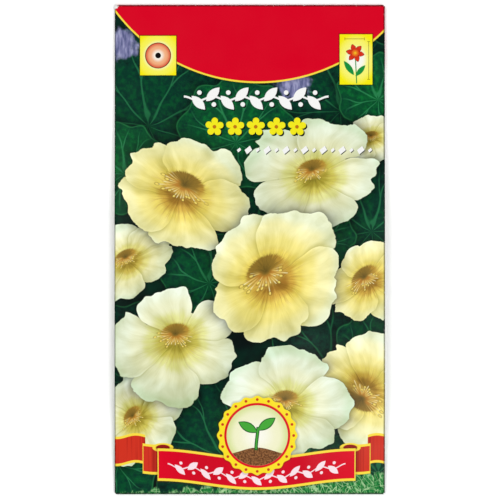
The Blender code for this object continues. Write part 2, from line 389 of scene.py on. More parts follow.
def inBlank(u, v):  # what the die leaves of the sheet
    onPanel = (u > leftX) & (u < rightX)
    flapZone = (u > leftX + packet["flapNotch"]) & (u < rightX - packet["flapNotch"])
    pastLeftFold = u < leftX - math.pi * leftRadius
    sideLimit = np.where(pastLeftFold, endY - packet["lapTrim"], endY - packet["sideNotch"])
    return np.where(np.abs(v) > endY, flapZone, onPanel | (np.abs(v) < sideLimit))


def makeSheet(name, columns, rows, keep, place, thickness, slots):
    bm = bmesh.new()
    wide, high = len(columns) - 1, len(rows) - 1
    bmesh.ops.create_grid(bm, x_segments=wide, y_segments=high, size=0.5)
    u = np.array([columns[round((vert.co.x + 0.5) * wide)] for vert in bm.verts])
    v = np.array([rows[round((vert.co.y + 0.5) * high)] for vert in bm.verts])
    bm.verts.index_update()
    faces = list(bm.faces)
    corners = np.array([[vert.index for vert in face.verts] for face in faces])
    middleU, middleV = u[corners].mean(axis=1), v[corners].mean(axis=1)
    behind = (middleU > rightX + math.pi * rightRadius / 2) | (middleU < leftX - math.pi * leftRadius / 2)
    behind |= np.abs(middleV) > endY + math.pi * endRadius / 2
    for face, kept, isBehind in zip(faces, keep(middleU, middleV), behind):
        face.select_set(not kept)
        face.material_index = int(isBehind)
    printMap = bm.loops.layers.uv.new("printMap")
    for face in faces:
        for loop in face.loops:
            loop[printMap].uv = (u[loop.vert.index] / mm, v[loop.vert.index] / mm)
    x, y, z = place(u, v)
    for vert, point in zip(bm.verts, np.stack([x, y, z], axis=1).tolist()):
        vert.co = point
    bmesh.ops.delete(bm, geom=[face for face in faces if face.select], context="FACES")
    piece = addMesh(name, bm, slots)
    flat = piece.data
    wall = piece.modifiers.new("thickness", "SOLIDIFY")
    wall.thickness = thickness
    wall.offset = 0
    wall.use_even_offset = True
    if len(slots) > 1:
        wall.material_offset = 2
        wall.material_offset_rim = 4
    evaluated = piece.evaluated_get(bpy.context.evaluated_depsgraph_get())
    solid = bpy.data.meshes.new_from_object(evaluated)
    piece.modifiers.clear()
    piece.data = solid
    bpy.data.meshes.remove(flat)
    solid.name = name
    solid.shade_smooth()
    solid.set_sharp_from_angle(angle=math.radians(packet["sharpAngle"]))
    return piece


# Formulas in a node tree: a Wire is a value on its way from one node to the next.
bench = []  # the last tree here is the one that formulas are written into


class Wire:
    def __init__(self, socket):
        self.socket = socket

    def __neg__(self):
        return calc("MULTIPLY", self, -1)

    def __abs__(self):
        return calc("ABSOLUTE", self)

    def __round__(self):
        return calc("ROUND", self)


def giveSign(sign, operation):  # lets a sign of arithmetic between two values write a node
    setattr(Wire, f"__{sign}__", lambda left, right: calc(operation, left, right))
    setattr(Wire, f"__r{sign}__", lambda right, left: calc(operation, left, right))


signs = {"add": "ADD", "sub": "SUBTRACT", "mul": "MULTIPLY", "truediv": "DIVIDE", "pow": "POWER"}
for sign, operation in signs.items():
    giveSign(sign, operation)


def feed(socket, value):
    if isinstance(value, Wire):
        bench[-1].links.new(value.socket, socket)
    else:
        socket.default_value = value


def addNode(kind, values=(), **settings):  # the values feed its inputs, in order or under their keys
    node = bench[-1].nodes.new(kind)
    for setting, value in settings.items():
        setattr(node, setting, value)
    pairs = values.items() if isinstance(values, dict) else enumerate(values)
    for key, value in pairs:
        feed(node.inputs[key], value)
    return node


def calc(operation, *values):
    return Wire(addNode("ShaderNodeMath", values, operation=operation).outputs[0])


def sine(angle):
    return calc("SINE", angle)


def cosine(angle):
    return calc("COSINE", angle)


def smallest(found, *others):  # of several outlines, it makes one
    for other in others:
        found = calc("MINIMUM", found, other)
    return found


def largest(found, *others):  # of several outlines, it keeps what they share
    for other in others:
        found = calc("MAXIMUM", found, other)
    return found


def cellOf(x, pitch, limit):  # the number of the nearest place in a row, from -limit to limit
    return smallest(largest(round(x / pitch), -limit), limit)


def vectorCalc(operation, *values):
    node = addNode("ShaderNodeVectorMath", values, operation=operation)
    return Wire(node.outputs["Value" if operation in ("LENGTH", "DISTANCE", "DOT_PRODUCT") else "Vector"])


def pointOf(x, y, z=0.0):
    return Wire(addNode("ShaderNodeCombineXYZ", (x, y, z)).outputs[0])


def partsOf(vector):
    return [Wire(socket) for socket in addNode("ShaderNodeSeparateXYZ", (vector,)).outputs]


def acrossAndUp(vector):  # x and y alone
    return vectorCalc("DOT_PRODUCT", vector, (1, 0, 0)), vectorCalc("DOT_PRODUCT", vector, (0, 1, 0))


def fromPoint(place, x, y):
    return vectorCalc("SUBTRACT", place, (x, y, 0.0))


def lengthOf(x, y):
    return vectorCalc("LENGTH", pointOf(x, y))


def reachFrom(place, x, y):
    return vectorCalc("LENGTH", fromPoint(place, x, y))


def turned(vector, angle):
    node = addNode("ShaderNodeVectorRotate", {"Vector": vector, "Angle": angle}, rotation_type="Z_AXIS")
    return Wire(node.outputs[0])


def rising(value, low, high):  # 0 at low, 1 at high, smooth between
    node = addNode("ShaderNodeMapRange", (value, low, high), interpolation_type="SMOOTHSTEP")
    return Wire(node.outputs[0])


def within(distance, soft=0.07):  # 1 inside an outline, 0 outside
    return rising(distance, soft, -soft)


def mixed(kind, share, under, over):
    first = {"FLOAT": 2, "VECTOR": 4, "RGBA": 6}[kind]
    node = addNode("ShaderNodeMix", {0: share, first: under, first + 1: over}, data_type=kind)
    return Wire(node.outputs[first // 2 - 1])


def asInk(colour):  # a plain colour is written as it is seen on screen
    return screenInk(*colour) if isinstance(colour, tuple) else colour


def blend(under, over, share):
    return mixed("RGBA", share, asInk(under), asInk(over))


def inked(colour, *coats):  # prints each ink inside its outline, one over the other
    for ink, distance in coats:
        colour = blend(colour, ink, within(distance))
    return colour


def dimmed(colour, amount):
    colour = screenInk(*colour)[:3] if isinstance(colour, tuple) else colour
    return Wire(addNode("ShaderNodeVectorMath", {0: colour, "Scale": amount}, operation="SCALE").outputs[0])


def later(place, colour):  # the same place, but worked out after the colour, which keeps Cycles' stack short
    return vectorCalc("MULTIPLY_ADD", colour, (1e-7, 1e-7, 1e-7), place)


def grain(vector, scale=1.0, detail=2.0, rough=0.5, flat=True):
    values = {"Vector": vector, "Scale": scale, "Detail": detail, "Roughness": rough}
    node = addNode("ShaderNodeTexNoise", values, noise_dimensions="2D" if flat else "3D")
    return Wire(node.outputs["Fac"])


def lots(number):  # three even draws from 0 to 1 for a number
    node = addNode("ShaderNodeTexWhiteNoise", {"W": number}, noise_dimensions="1D")
    return partsOf(Wire(node.outputs["Color"]))


def scaleOfColours(value, *stops):
    node = addNode("ShaderNodeValToRGB", (value,))
    node.color_ramp.interpolation = "EASE"
    elements = node.color_ramp.elements
    for k, (place, colour) in enumerate(stops):
        element = elements[k] if k < 2 else elements.new(place)
        element.position = place
        element.color = screenInk(*colour)
    return Wire(node.outputs[0])


def makeGroup(name, inputs, outputs, write):  # takes vectors and gives "Colour" and values
    group = bpy.data.node_groups.new(name, "ShaderNodeTree")
    for label in inputs:
        group.interface.new_socket(label, in_out="INPUT", socket_type="NodeSocketVector")
    for label in outputs:
        kind = "NodeSocketColor" if label == "Colour" else "NodeSocketFloat"
        group.interface.new_socket(label, in_out="OUTPUT", socket_type=kind)
    bench.append(group)
    entry = addNode("NodeGroupInput")
    addNode("NodeGroupOutput", write(*[Wire(socket) for socket in entry.outputs[: len(inputs)]]))
    bench.pop()
    return group


def useGroup(group, *values):
    return [Wire(socket) for socket in addNode("ShaderNodeGroup", values, node_tree=group).outputs]


# The picture on the front: cream blossoms over round veined leaves.
petals = {
    "count": 5,
    "width": 0.79,  # half of a petal's spread, in radians
    "widthSpread": 0.22,
    "length": 0.83,
    "lengthSpread": 0.27,
    "turnSpread": 0.22,
    "apart": 0.17,  # how much narrower the petals of an open blossom are
    "tipPower": 3.4,
    "sidePower": 3.2,
    "wave": 0.26,  # slow in and out of the margin
    "pleats": 8.0,
    "pleatReach": 0.026,
    "pleatLight": 0.09,
    "nicks": 0.055,
    "wander": 0.13,
    "folds": 0.52,
    "creases": 0.03,
    "veins": 0.26,
    "crumple": 0.16,
    "modelling": 0.17,
    "lightFrom": 2.2,
    "margin": 0.035,
    "shade": 0.30,  # under the petal that lies over
    "streakInk": (146, 94, 30),
    "creamInks": (
        (0.00, (118, 88, 28)), (0.15, (160, 118, 40)), (0.25, (210, 170, 66)), (0.38, (238, 216, 98)),
        (0.55, (247, 233, 134)), (0.78, (247, 241, 172)), (1.00, (232, 238, 196)),
    ),
    "whiteInks": (
        (0.00, (128, 124, 36)), (0.14, (168, 162, 54)), (0.25, (206, 204, 92)), (0.38, (226, 232, 156)),
        (0.54, (236, 242, 210)), (0.80, (226, 238, 214)), (1.00, (200, 222, 184)),
    ),
}
throat = {
    "size": 0.165,
    "extraSize": 0.095,  # in a yellow blossom
    "inks": ((0.0, (98, 80, 30)), (0.35, (142, 112, 42)), (0.70, (186, 146, 56)), (1.0, (222, 184, 84))),
    "filaments": 33,
    "shortest": 0.65,
    "lengthSpread": 0.85,
    "thickness": 0.042,
    "filamentInks": ((0.30, (190, 130, 48)), (0.62, (232, 196, 104)), (0.9, (253, 244, 184))),
    "antherRim": (112, 84, 30),
    "antherInk": (250, 226, 112),
}
# x, y, radius, the petals' turn, where it leans, how flat, the throat's shift, how yellow, how open
blossomLayers = (
    (
        (-36.0, -3.5, 15.0, 0.4, 0.5, 0.72, 0.14, 0.45, 0.1),
        (34.5, -41.5, 19.5, 1.1, 2.6, 0.80, 0.18, 0.85, 0.0),
        (36.0, 33.0, 10.0, 0.2, 0.2, 0.74, 0.10, 0.35, 0.2),
        (-33.5, -50.0, 15.5, 2.1, 0.9, 0.80, 0.12, 0.25, 0.5),
    ),
    (
        (19.0, 21.5, 21.5, 0.9, 0.3, 0.78, 0.14, 0.20, 0.75),
        (-20.5, 16.0, 21.5, 0.1, -0.4, 0.76, 0.20, 0.95, 0.0),
        (-21.5, -27.0, 21.0, 1.7, 0.2, 0.88, 0.12, 0.20, 0.9),
        (35.0, -9.5, 15.5, 2.4, 0.7, 0.76, 0.16, 0.90, 0.0),
    ),
    (
        (6.5, -9.0, 21.5, 0.5, 0.6, 0.86, 0.17, 1.00, 0.0),
        (10.5, -46.0, 19.5, 1.3, 0.1, 0.84, 0.12, 0.15, 0.8),
    ),
)


def writePetal(angle, name, rho, openness):  # its form is above 0 inside, and its light is about 1
    reach, spread, lift = lots(name)
    angle = angle + (lift - 0.5) * petals["turnSpread"]
    half = spread * petals["widthSpread"] + petals["width"] - openness * petals["apart"]
    length = reach * petals["lengthSpread"] + petals["length"]
    slow = grain(pointOf(angle * 1.5 + name * 3.1, rho * 0.8), 1.7, 0.5) - 0.5
    folds = grain(pointOf(angle * 3.0 + name * 3.1, rho * 1.9)) - 0.5
    crumple = grain(pointOf(angle * 9 + name * 4.3, rho * 6.5)) - 0.5
    veins = grain(pointOf(angle * 32 + name * 5 + folds * 5, rho * 1.5), 1.0, 2.5, 0.65) - 0.5
    phase = angle * petals["pleats"] + slow * 9 + name * 2.3
    outer = rising(rho, 0.30, 1.0)
    side = abs(angle) / half
    notch = rising(side, 0.16, 0.0) * 0.03
    ragged = slow * petals["wave"] + sine(phase) * petals["pleatReach"] + crumple * petals["nicks"]
    tip = (rho + notch + ragged * outer) / length
    claw = openness * (reach * 0.6 + 0.4) * rising(rho, 0.75, 0.30) * 0.35 + 1
    form = 1 - tip ** petals["tipPower"] - (side * claw) ** petals["sidePower"]
    light = (
        1.0
        + folds * petals["folds"]
        + veins * petals["veins"] * rising(rho, 1.15, 0.25)
        + cosine(phase + 0.6) * petals["pleatLight"] * outer
        + crumple * petals["crumple"] * outer
        - rising(abs(folds), 0.035, 0.0) * petals["creases"] * outer
        + (lift - 0.5) * 0.16
        - angle / half * 0.06
        + rising(side, 0.5, 0.0) * 0.04
        + rising(form, 0.22, 0.02) * 0.06
    )
    return form, light, veins, folds


def writeThroat(colour, along, across, yellow, number):  # the funnel, and the threads that stand out of it
    size = yellow * throat["extraSize"] + throat["size"]
    rho = calc("SQRT", along * along * 0.8 + across * across * 1.3) / size
    theta = calc("ARCTAN2", across, along)
    rings = grain(pointOf(theta * 7, rho), 2.0) - 0.5
    deep = scaleOfColours(rho * 0.75 + rings * 0.45 - across * 1.9 + 0.05, *throat["inks"])
    nearSide = rising(across, 0.06, -0.10)  # the petals curve down into the throat on this side
    rim = rho + rings * 0.30
    colour = blend(colour, deep, rising(rim, nearSide * 0.22 + 1.10, 0.92 - nearSide * 0.42))
    lip = rising(abs(rim - 1.2), 0.22, 0.0) * (1 - nearSide)
    colour = dimmed(colour, lip * 0.08 + 1)

    pitch = 2 * math.pi / throat["filaments"]
    cell = theta / pitch
    thread = round(cell)
    length, bend, kind = lots(thread + number * 31)
    offset = (cell - thread + (bend - 0.5) * 0.5 * rho) * pitch * rho
    endAt = length * throat["lengthSpread"] + throat["shortest"]
    run = rho / endAt
    outside = abs(offset) - (1.25 - run) * throat["thickness"]
    lower = rising(sine(theta + 0.4), 0.35, -0.25)
    stretch = rising(run, 1.0, 0.93) * rising(rho, 0.12, 0.40) * lower
    ink = scaleOfColours(run, *throat["filamentInks"])
    colour = blend(colour, ink, rising(outside, 0.030, -0.015) * stretch * 0.92)
    anther = lengthOf(offset, (rho - endAt) * 0.7)
    tips = lower * rising(kind, 0.30, 0.35)
    colour = blend(colour, throat["antherRim"], rising(anther, 0.13, 0.07) * tips * 0.6)
    return blend(colour, throat["antherInk"], rising(anther, 0.085, 0.045) * tips * 0.9)


def writeBlossom(place, centre, form, lean, tone):
    radius, spin, number = partsOf(form)
    leanTo, squash, shift = partsOf(lean)
    yellow, openness = acrossAndUp(tone)
    along, across = acrossAndUp(turned(vectorCalc("SUBTRACT", place, centre), -leanTo))
    flat = pointOf(along / radius, across / (radius * squash), number * 3.7)
    ripple = grain(flat, 2.1, 1.0, flat=False) - 0.5
    along, across = acrossAndUp(flat)
    rho = calc("SQRT", along * along + across * across) + ripple * petals["wander"]
    theta = calc("ARCTAN2", across, along) + ripple * 0.35
    pitch = 2 * math.pi / petals["count"]
    fromFirst = (theta - spin) / pitch + 10
    whole = calc("FLOOR", fromFirst)
    phi = (fromFirst - whole) * pitch
    names = [calc("MODULO", whole + step, petals["count"]) + number * 7 for step in (0, 1)]

    formOver, *over = writePetal(phi, names[0], rho, openness)
    formUnder, *under = writePetal(phi - pitch, names[1], rho, openness)
    covered = rising(formOver, 0.0, petals["margin"])
    shadow = calc("EXPONENT", smallest(formOver, 0.0) * 3.2) * petals["shade"]
    under[0] = under[0] * (1 - shadow)
    light, veins, folds = [mixed("FLOAT", covered, low, high) for low, high in zip(under, over)]
    best = largest(formOver, formUnder, 1.05 - rho * 2.1)
    cover = rising(best, 0.0, petals["margin"])
    near = calc("EXPONENT", smallest(best, 0.0) * 2.6)

    facing = cosine(theta + leanTo - petals["lightFrom"])
    light = light + facing * petals["modelling"] * (rising(rho, 0.25, 0.85) - 0.42)
    tint = rho + veins * 0.16 * rising(rho, 0.80, 0.15) + folds * 0.14
    white, cream = [scaleOfColours(tint, *petals[inks]) for inks in ("whiteInks", "creamInks")]
    streaks = rising(veins, 0.0, 0.13) * rising(rho, 0.58, 0.20) * 0.7
    colour = blend(white, cream, yellow)
    colour = blend(colour, petals["streakInk"], streaks * (yellow * 0.6 + 0.4))
    warmth = pointOf(light, light, light**1.6)  # the shade on a petal is yellower than its light
    colour = vectorCalc("MULTIPLY", colour, warmth)
    return writeThroat(colour, along, across - shift, yellow, number), cover, near


paintedParts = ("Colour", "Cover", "Near")
blossom = makeGroup("blossom", ("Place", "Centre", "Form", "Lean", "Tone"), paintedParts, writeBlossom)

leaves = {
    "ribs": 9,
    "ribWidth": 0.16,
    "forkAt": 0.42,
    "forkSpread": 0.34,
    "waves": 0.06,
    "inks": (
        (0.0, (1, 32, 26)), (0.22, (2, 54, 40)), (0.45, (3, 76, 42)), (0.7, (8, 106, 48)),
        (1.0, (38, 142, 66)),
    ),
    "ribInk": (52, 150, 92),
    "rimInk": (60, 150, 84),
}
# x, y, radius, turn, lightness
leafLayers = (
    (
        (-30, 40, 25, 0.3, 0.35), (27, 44, 22, 1.2, 0.30), (2, 8, 22, 0.8, 0.25), (36, 8, 19, 2.0, 0.35),
        (-36, -36, 20, 0.5, 0.20), (24, -32, 19, 2.4, 0.15), (-8, -58, 22, 1.5, 0.35),
        (38, -64, 16, 0.2, 0.20),
    ),
    (
        (-4, 34, 17, 2.1, 0.75), (-37, 24, 13, 1.0, 0.85), (17, -60, 13, 0.7, 0.55),
        (-12, -8, 14, 2.9, 0.60), (37, -30, 12, 0.4, 0.55), (20, 4, 11, 1.9, 0.70),
        (-39, -62, 13, 2.5, 0.60), (38, 46, 12, 2.7, 0.80),
    ),
)


def writeLeaf(place, centre, form, tone):
    radius, spin, number = partsOf(form)
    lightness = partsOf(tone)[0]
    x, y = acrossAndUp(vectorCalc("SUBTRACT", place, centre))
    flat = pointOf(x / radius, y / radius, number * 5.3)
    ripple = grain(flat, 1.6, 1.0, flat=False) - 0.5
    x, y = acrossAndUp(flat)
    rho = calc("SQRT", x * x + y * y)
    theta = calc("ARCTAN2", y + 0.16 * (1 - rho), x) - spin + ripple * 0.5
    waves = sine(theta * leaves["ribs"]) * leaves["waves"]
    edge = (rho - 1 - waves * rho - ripple * 0.14) * radius
    pitch = 2 * math.pi / leaves["ribs"]
    cell = theta / pitch
    offRib = (cell - round(cell)) * pitch
    fork = largest(rho - leaves["forkAt"], 0.0) * leaves["forkSpread"]
    away = abs(abs(offRib) - fork) * rho * radius
    rib = rising(away, leaves["ribWidth"] * 1.9, leaves["ribWidth"] * 0.4) * rising(rho, 1.0, 0.55)
    hollow = rising(away, 2.2, 0.0)
    mottle = grain(pointOf(x * radius, y * radius), 0.55, 3.0, 0.62) - 0.5
    fine = grain(pointOf(offRib * 9, rho * radius * 0.9), 1.0, 2.0, 0.7) - 0.5
    tone = lightness * 0.55 + mottle * 0.75 + fine * 0.25 - hollow * 0.10 + (0.45 - rho) * 0.20 + 0.12
    colour = scaleOfColours(tone, *leaves["inks"])
    colour = blend(colour, leaves["ribInk"], rib * (lightness * 0.35 + 0.30))
    colour = blend(colour, leaves["rimInk"], rising(abs(edge + 0.25), 0.35, 0.0) * 0.30)
    return colour, rising(edge, 0.25, -0.15), calc("EXPONENT", largest(edge, 0.0) * -0.45)


leaf = makeGroup("roundLeaf", ("Place", "Centre", "Form", "Tone"), paintedParts, writeLeaf)

lavender = {
    "glimpses": ((-38.0, 60.5, 6.2), (13.5, 48.5, 6.0), (9.5, 51.0, 4.6)),  # x, y, radius
    "inks": ((0.3, (96, 100, 146)), (0.5, (134, 134, 180)), (0.7, (172, 172, 212))),
}
shadeInks = ((0.3, (1, 22, 20)), (0.6, (3, 50, 36)), (1.0, (20, 92, 60)))  # behind everything


def nearest(place, entries):  # the values of whichever entry lies nearest, measured in its own radii
    found, kept = 99.0, entries[0][1:]
    for radius, *values in entries:
        distance = vectorCalc("DISTANCE", place, values[0]) / radius
        closer = calc("LESS_THAN", distance, found)
        kept = [mixed("VECTOR", closer, old, new) for old, new in zip(kept, values)]
        found = smallest(found, distance)
    return kept


def paintLayer(sheet, colour, group, entries, shade):
    place = later(sheet, colour)
    ink, cover, near = useGroup(group, place, *nearest(place, entries))
    return blend(dimmed(colour, 1 - near * shade), ink, cover)


def writePicture(sheet):
    colour = scaleOfColours(grain(sheet, 0.09, 3.0), *shadeInks)
    for number, layer in enumerate(leafLayers):
        entries = [
            (radius, (x, y, 0), (radius, turn, number * 8 + k), (lightness, 0, 0))
            for k, (x, y, radius, turn, lightness) in enumerate(layer)
        ]
        colour = paintLayer(sheet, colour, leaf, entries, 0.60)
    place = later(sheet, colour)
    frays = grain(place, 0.35, 3.0) * 5
    streaks = grain(vectorCalc("MULTIPLY", place, (1.0, 0.25, 1.0)), 1.1)
    for x, y, radius in lavender["glimpses"]:
        far = reachFrom(place, x, y) - radius + frays
        colour = blend(colour, scaleOfColours(streaks, *lavender["inks"]), rising(far, 1.6, -0.4) * 0.85)
    for number, layer in enumerate(blossomLayers):
        entries = [
            (radius, (x, y, 0), (radius, spin, number * 5 + k + 1), (leanTo, squash, shift), (*tone, 0))
            for k, (x, y, radius, spin, leanTo, squash, shift, *tone) in enumerate(layer)
        ]
        colour = paintLayer(sheet, colour, blossom, entries, 0.62)
    return (colour,)


picture = makeGroup("gardenPicture", ("Place",), ("Colour",), writePicture)

# What is printed over the picture, in millimetres from the middle of the front.


def boxDistance(x, y, halfX, halfY):
    return largest(abs(x) - halfX, abs(y) - halfY)


def leafShape(x, y, turn, length, width):  # a pointed leaf with its middle at the origin
    along, across = acrossAndUp(turned(pointOf(x, y), turn))
    return (abs(across) / width + (along / length) * (along / length) - 1) * width


def vineMask(x, y, look, half):  # a row of leaves, one up and one down along a stem
    pitch, (length, width) = look["pitch"], look["leaf"]
    cell = cellOf(x, pitch, math.floor(half / pitch - 0.5))
    side = calc("MODULO", abs(cell), 2) * 2 - 1
    stem = abs(y - cosine(x * (math.pi / pitch)) * -0.6) - look["stem"]
    stem = largest(stem, abs(x) - half)
    x = x - cell * pitch
    y = y * side
    blade = leafShape(x, y - width * 0.95, -look["lean"], length * 0.86, width)
    berry = lengthOf(x - 0.3, y + width * 1.35) - width * 0.52
    return within(smallest(stem, blade, berry))


def rosetteMasks(x, y, size):  # five petals, and the eye
    reach = lengthOf(x, y)
    angle = calc("ARCTAN2", y, x)
    outline = abs(sine(angle * 2.5 + 0.9)) ** 0.55 * (size * 0.55) + size * 0.45
    return within(reach - outline), within(reach - size * 0.20)


def fromCentre(place, look, shift=0.0):
    x, y = look["centre"]
    return acrossAndUp(fromPoint(place, x + shift, y - shift))


header = {
    "centre": (2.5, 102.4),
    "radius": 52.9,
    "line": 0.27,
    "red": (221, 0, 35),
    "yellow": (255, 226, 70),
}


def writeHeader(place, colour):
    arc = reachFrom(place, *header["centre"]) - header["radius"]
    colour = dimmed(colour, 1 - rising(arc, 1.6, 0.0) * rising(arc, 0.2, 0.5) * 0.35)
    line = header["line"]
    return inked(colour, (header["yellow"], abs(arc) - line), (header["red"], arc + line))


boxOutline = {"width": 0.26, "shade": 0.72}
sunBox = {
    "centre": (-27.15, 57.45),
    "half": (5.35, 5.85),
    "glow": ((0.3, (255, 255, 250)), (0.62, (254, 248, 90)), (0.92, (252, 240, 10))),
    "disc": 3.85,
    "discInks": ((0.2, (255, 250, 236)), (0.6, (248, 180, 132)), (1.0, (224, 84, 52))),
    "rim": 0.22,
    "rimInk": (92, 36, 20),
    "dot": 0.85,
    "dotInk": (12, 8, 6),
}
sizeBox = {
    "centre": (31.45, 56.3),
    "half": (4.85, 7.45),
    "glow": ((0.2, (255, 255, 246)), (0.48, (254, 250, 120)), (0.8, (252, 242, 12))),
    "level": (-0.4, 6.1, 2.9),  # a measuring line: its middle along and across its run, and half its length
    "upright": (-0.3, 3.75, 5.6),
    "line": 0.07,
    "tick": 0.40,
    "lineInk": (40, 34, 20),
    "bloom": (-0.25, 1.9),
    "bloomSize": 2.75,
    "bloomRim": (120, 20, 12),
    "bloomInks": (
        (0.0, (250, 196, 40)), (0.28, (236, 110, 30)), (0.45, (214, 48, 24)), (1.0, (230, 58, 34)),
    ),
    "leaves": ((-2.10, -2.55, 0.95, 2.6, 0.82), (1.30, -3.35, -0.85, 2.2, 0.74)),  # x, y, turn, half sizes
    "leafInk": (24, 146, 62),
}


def writeBox(place, colour, look, squeeze):  # a yellow box that is paler in the middle
    x, y = fromCentre(place, look)
    edge = boxDistance(x, y, *look["half"])
    colour = dimmed(colour, 1 - within(edge - boxOutline["width"]) * boxOutline["shade"])
    return x, y, inked(colour, (scaleOfColours(lengthOf(x, y * squeeze) / 8, *look["glow"]), edge))


def writeSunBox(place, colour):
    x, y, colour = writeBox(place, colour, sunBox, 1.0)
    reach = lengthOf(x, y)
    rim = reach - sunBox["disc"]
    disc = scaleOfColours(reach / sunBox["disc"], *sunBox["discInks"])
    dot = (sunBox["dotInk"], reach - sunBox["dot"])
    return inked(colour, (sunBox["rimInk"], rim), (disc, rim + sunBox["rim"]), dot)


def writeSizeBox(place, colour):
    x, y, colour = writeBox(place, colour, sizeBox, 0.8)
    line, tick, size = sizeBox["line"], sizeBox["tick"], sizeBox["bloomSize"]
    rulers = []
    for along, across, (middle, aside, half) in ((x, y, sizeBox["level"]), (y, x, sizeBox["upright"])):
        along, across = along - middle, across - aside
        rulers.append(boxDistance(along, across, half, line))
        rulers.append(boxDistance(abs(along) - half, across, line, tick))
    colour = blend(colour, sizeBox["lineInk"], within(smallest(*rulers)) * 0.85)
    bloomX, bloomY = x - sizeBox["bloom"][0], y - sizeBox["bloom"][1]
    stem = boxDistance(bloomX + bloomY * 0.05, bloomY + 5.0, 0.15, 4.0)
    greens = [leafShape(x - leafX, y - leafY, *rest) for leafX, leafY, *rest in sizeBox["leaves"]]
    reach = lengthOf(bloomX, bloomY)
    ray = abs(cosine(calc("ARCTAN2", bloomY, bloomX) * 3 + 0.55))
    star = reach - (ray**0.55 * 0.36 + ray**7 * 0.14 + 0.50) * size
    creases = rising(ray, 0.30, 0.05) * rising(reach / size, 0.25, 0.45)
    ink = dimmed(scaleOfColours(reach / size, *sizeBox["bloomInks"]), 1 - creases * 0.40)
    green = (sizeBox["leafInk"], smallest(stem, *greens))
    return inked(colour, green, (sizeBox["bloomRim"], star), (ink, star + 0.17))


rowShadow = {"shift": 0.38, "ink": (10, 26, 20)}
vineRow = {
    "centre": (1.9, 44.7),
    "half": 21.4,
    "pitch": 4.28,
    "leaf": (3.3, 1.30),
    "lean": 0.80,
    "stem": 0.30,
    "ink": (252, 252, 250),
}
rosetteRow = {
    "centre": (1.75, 36.3),
    "pitch": 6.1,
    "reach": 2,  # how many on each side of the middle one
    "size": 2.75,
    "ink": (250, 240, 30),
    "eyeInk": (196, 120, 24),
}
lozengeRow = {"centre": (16.2, 29.4), "pitch": 2.77, "reach": 7, "sizes": (0.95, 0.53), "slant": 0.35}


def writeVine(x, y, colour, ink):
    return blend(colour, ink, vineMask(x, y, vineRow, vineRow["half"]))


def writeRosettes(x, y, colour, row, ink):
    x = x - cellOf(x, row["pitch"], row["reach"]) * row["pitch"]
    flowers, eyes = rosetteMasks(x, y, row["size"])
    return blend(blend(colour, ink, flowers), row["eyeInk"], eyes)


def writeRows(place, colour):  # each row is printed twice, first as its own shadow
    dark, white, yellow = [row["ink"] for row in (rowShadow, vineRow, rosetteRow)]
    for shift, leafInk, flowerInk in ((rowShadow["shift"], dark, dark), (0.0, white, yellow)):
        colour = writeVine(*fromCentre(place, vineRow, shift), colour, leafInk)
        colour = writeRosettes(*fromCentre(place, rosetteRow, shift), colour, rosetteRow, flowerInk)
        x, y = fromCentre(place, lozengeRow, shift * 0.5)
        cell = cellOf(x, lozengeRow["pitch"], lozengeRow["reach"])
        large, small = lozengeRow["sizes"]
        size = calc("MODULO", abs(cell), 2) * (small - large) + large
        x = x - cell * lozengeRow["pitch"] - y * lozengeRow["slant"]
        colour = blend(colour, leafInk, within(abs(x) * 0.85 + abs(y) * 0.75 - size, 0.05))
    return colour


grassStrip = {
    "inks": ((0.25, (2, 60, 30)), (0.5, (24, 120, 52)), (0.62, (90, 170, 96)), (0.75, (196, 224, 176))),
    "threads": ((0.5, 0.80), (-0.7, 0.65), (1.3, 0.50)),  # which way they run, and how strong
    "threadInk": (184, 226, 168),
    "top": -69.5,
    "rise": 0.085,
}


def writeGrass(place, colour):
    x, y = acrossAndUp(place)
    waves = grain(pointOf(x * 0.5, y * 0.16))
    tufts = grain(pointOf(x * 2.6 + y * 0.9 + waves * 6, y * 0.35), 1.0, 3.0, 0.7)
    green = scaleOfColours(tufts, *grassStrip["inks"])
    for number, (turn, strength) in enumerate(grassStrip["threads"]):
        across, along = acrossAndUp(turned(place, turn))
        tangle = grain(pointOf(across * 0.42 + number * 17, along * 0.12), 1.0, 1.0) - 0.5
        thread = rising(abs(tangle), 0.022, 0.005)
        green = blend(green, grassStrip["threadInk"], thread * strength)
    top = (waves - 0.5) * 6 + x * grassStrip["rise"] + grassStrip["top"]
    return blend(colour, green, rising(y, top + 0.6, top - 0.6))


ribbon = {
    "left": -27.3,
    "right": 31.3,
    "y": -65.0,
    "half": 4.85,
    "sag": 1.35,
    "edge": 0.75,
    "tail": (-59.2, 4.4, 3.6),  # y, half height, how far from the band's end it starts
    "fold": (-61.9, 4.5, 3.2),  # y, half height, half width
    "roll": (-1.6, -58.55, 3.1, 1.35),  # beyond the band's end, y, half sizes
    "shade": (213, 52, 34),
    "darkShade": (150, 20, 18),
    "shadow": (60, 20, 10),
    "vine": {"pitch": 3.78, "leaf": (2.35, 0.88), "lean": 0.72, "stem": 0.18},
    "vineInk": (255, 232, 238),
}


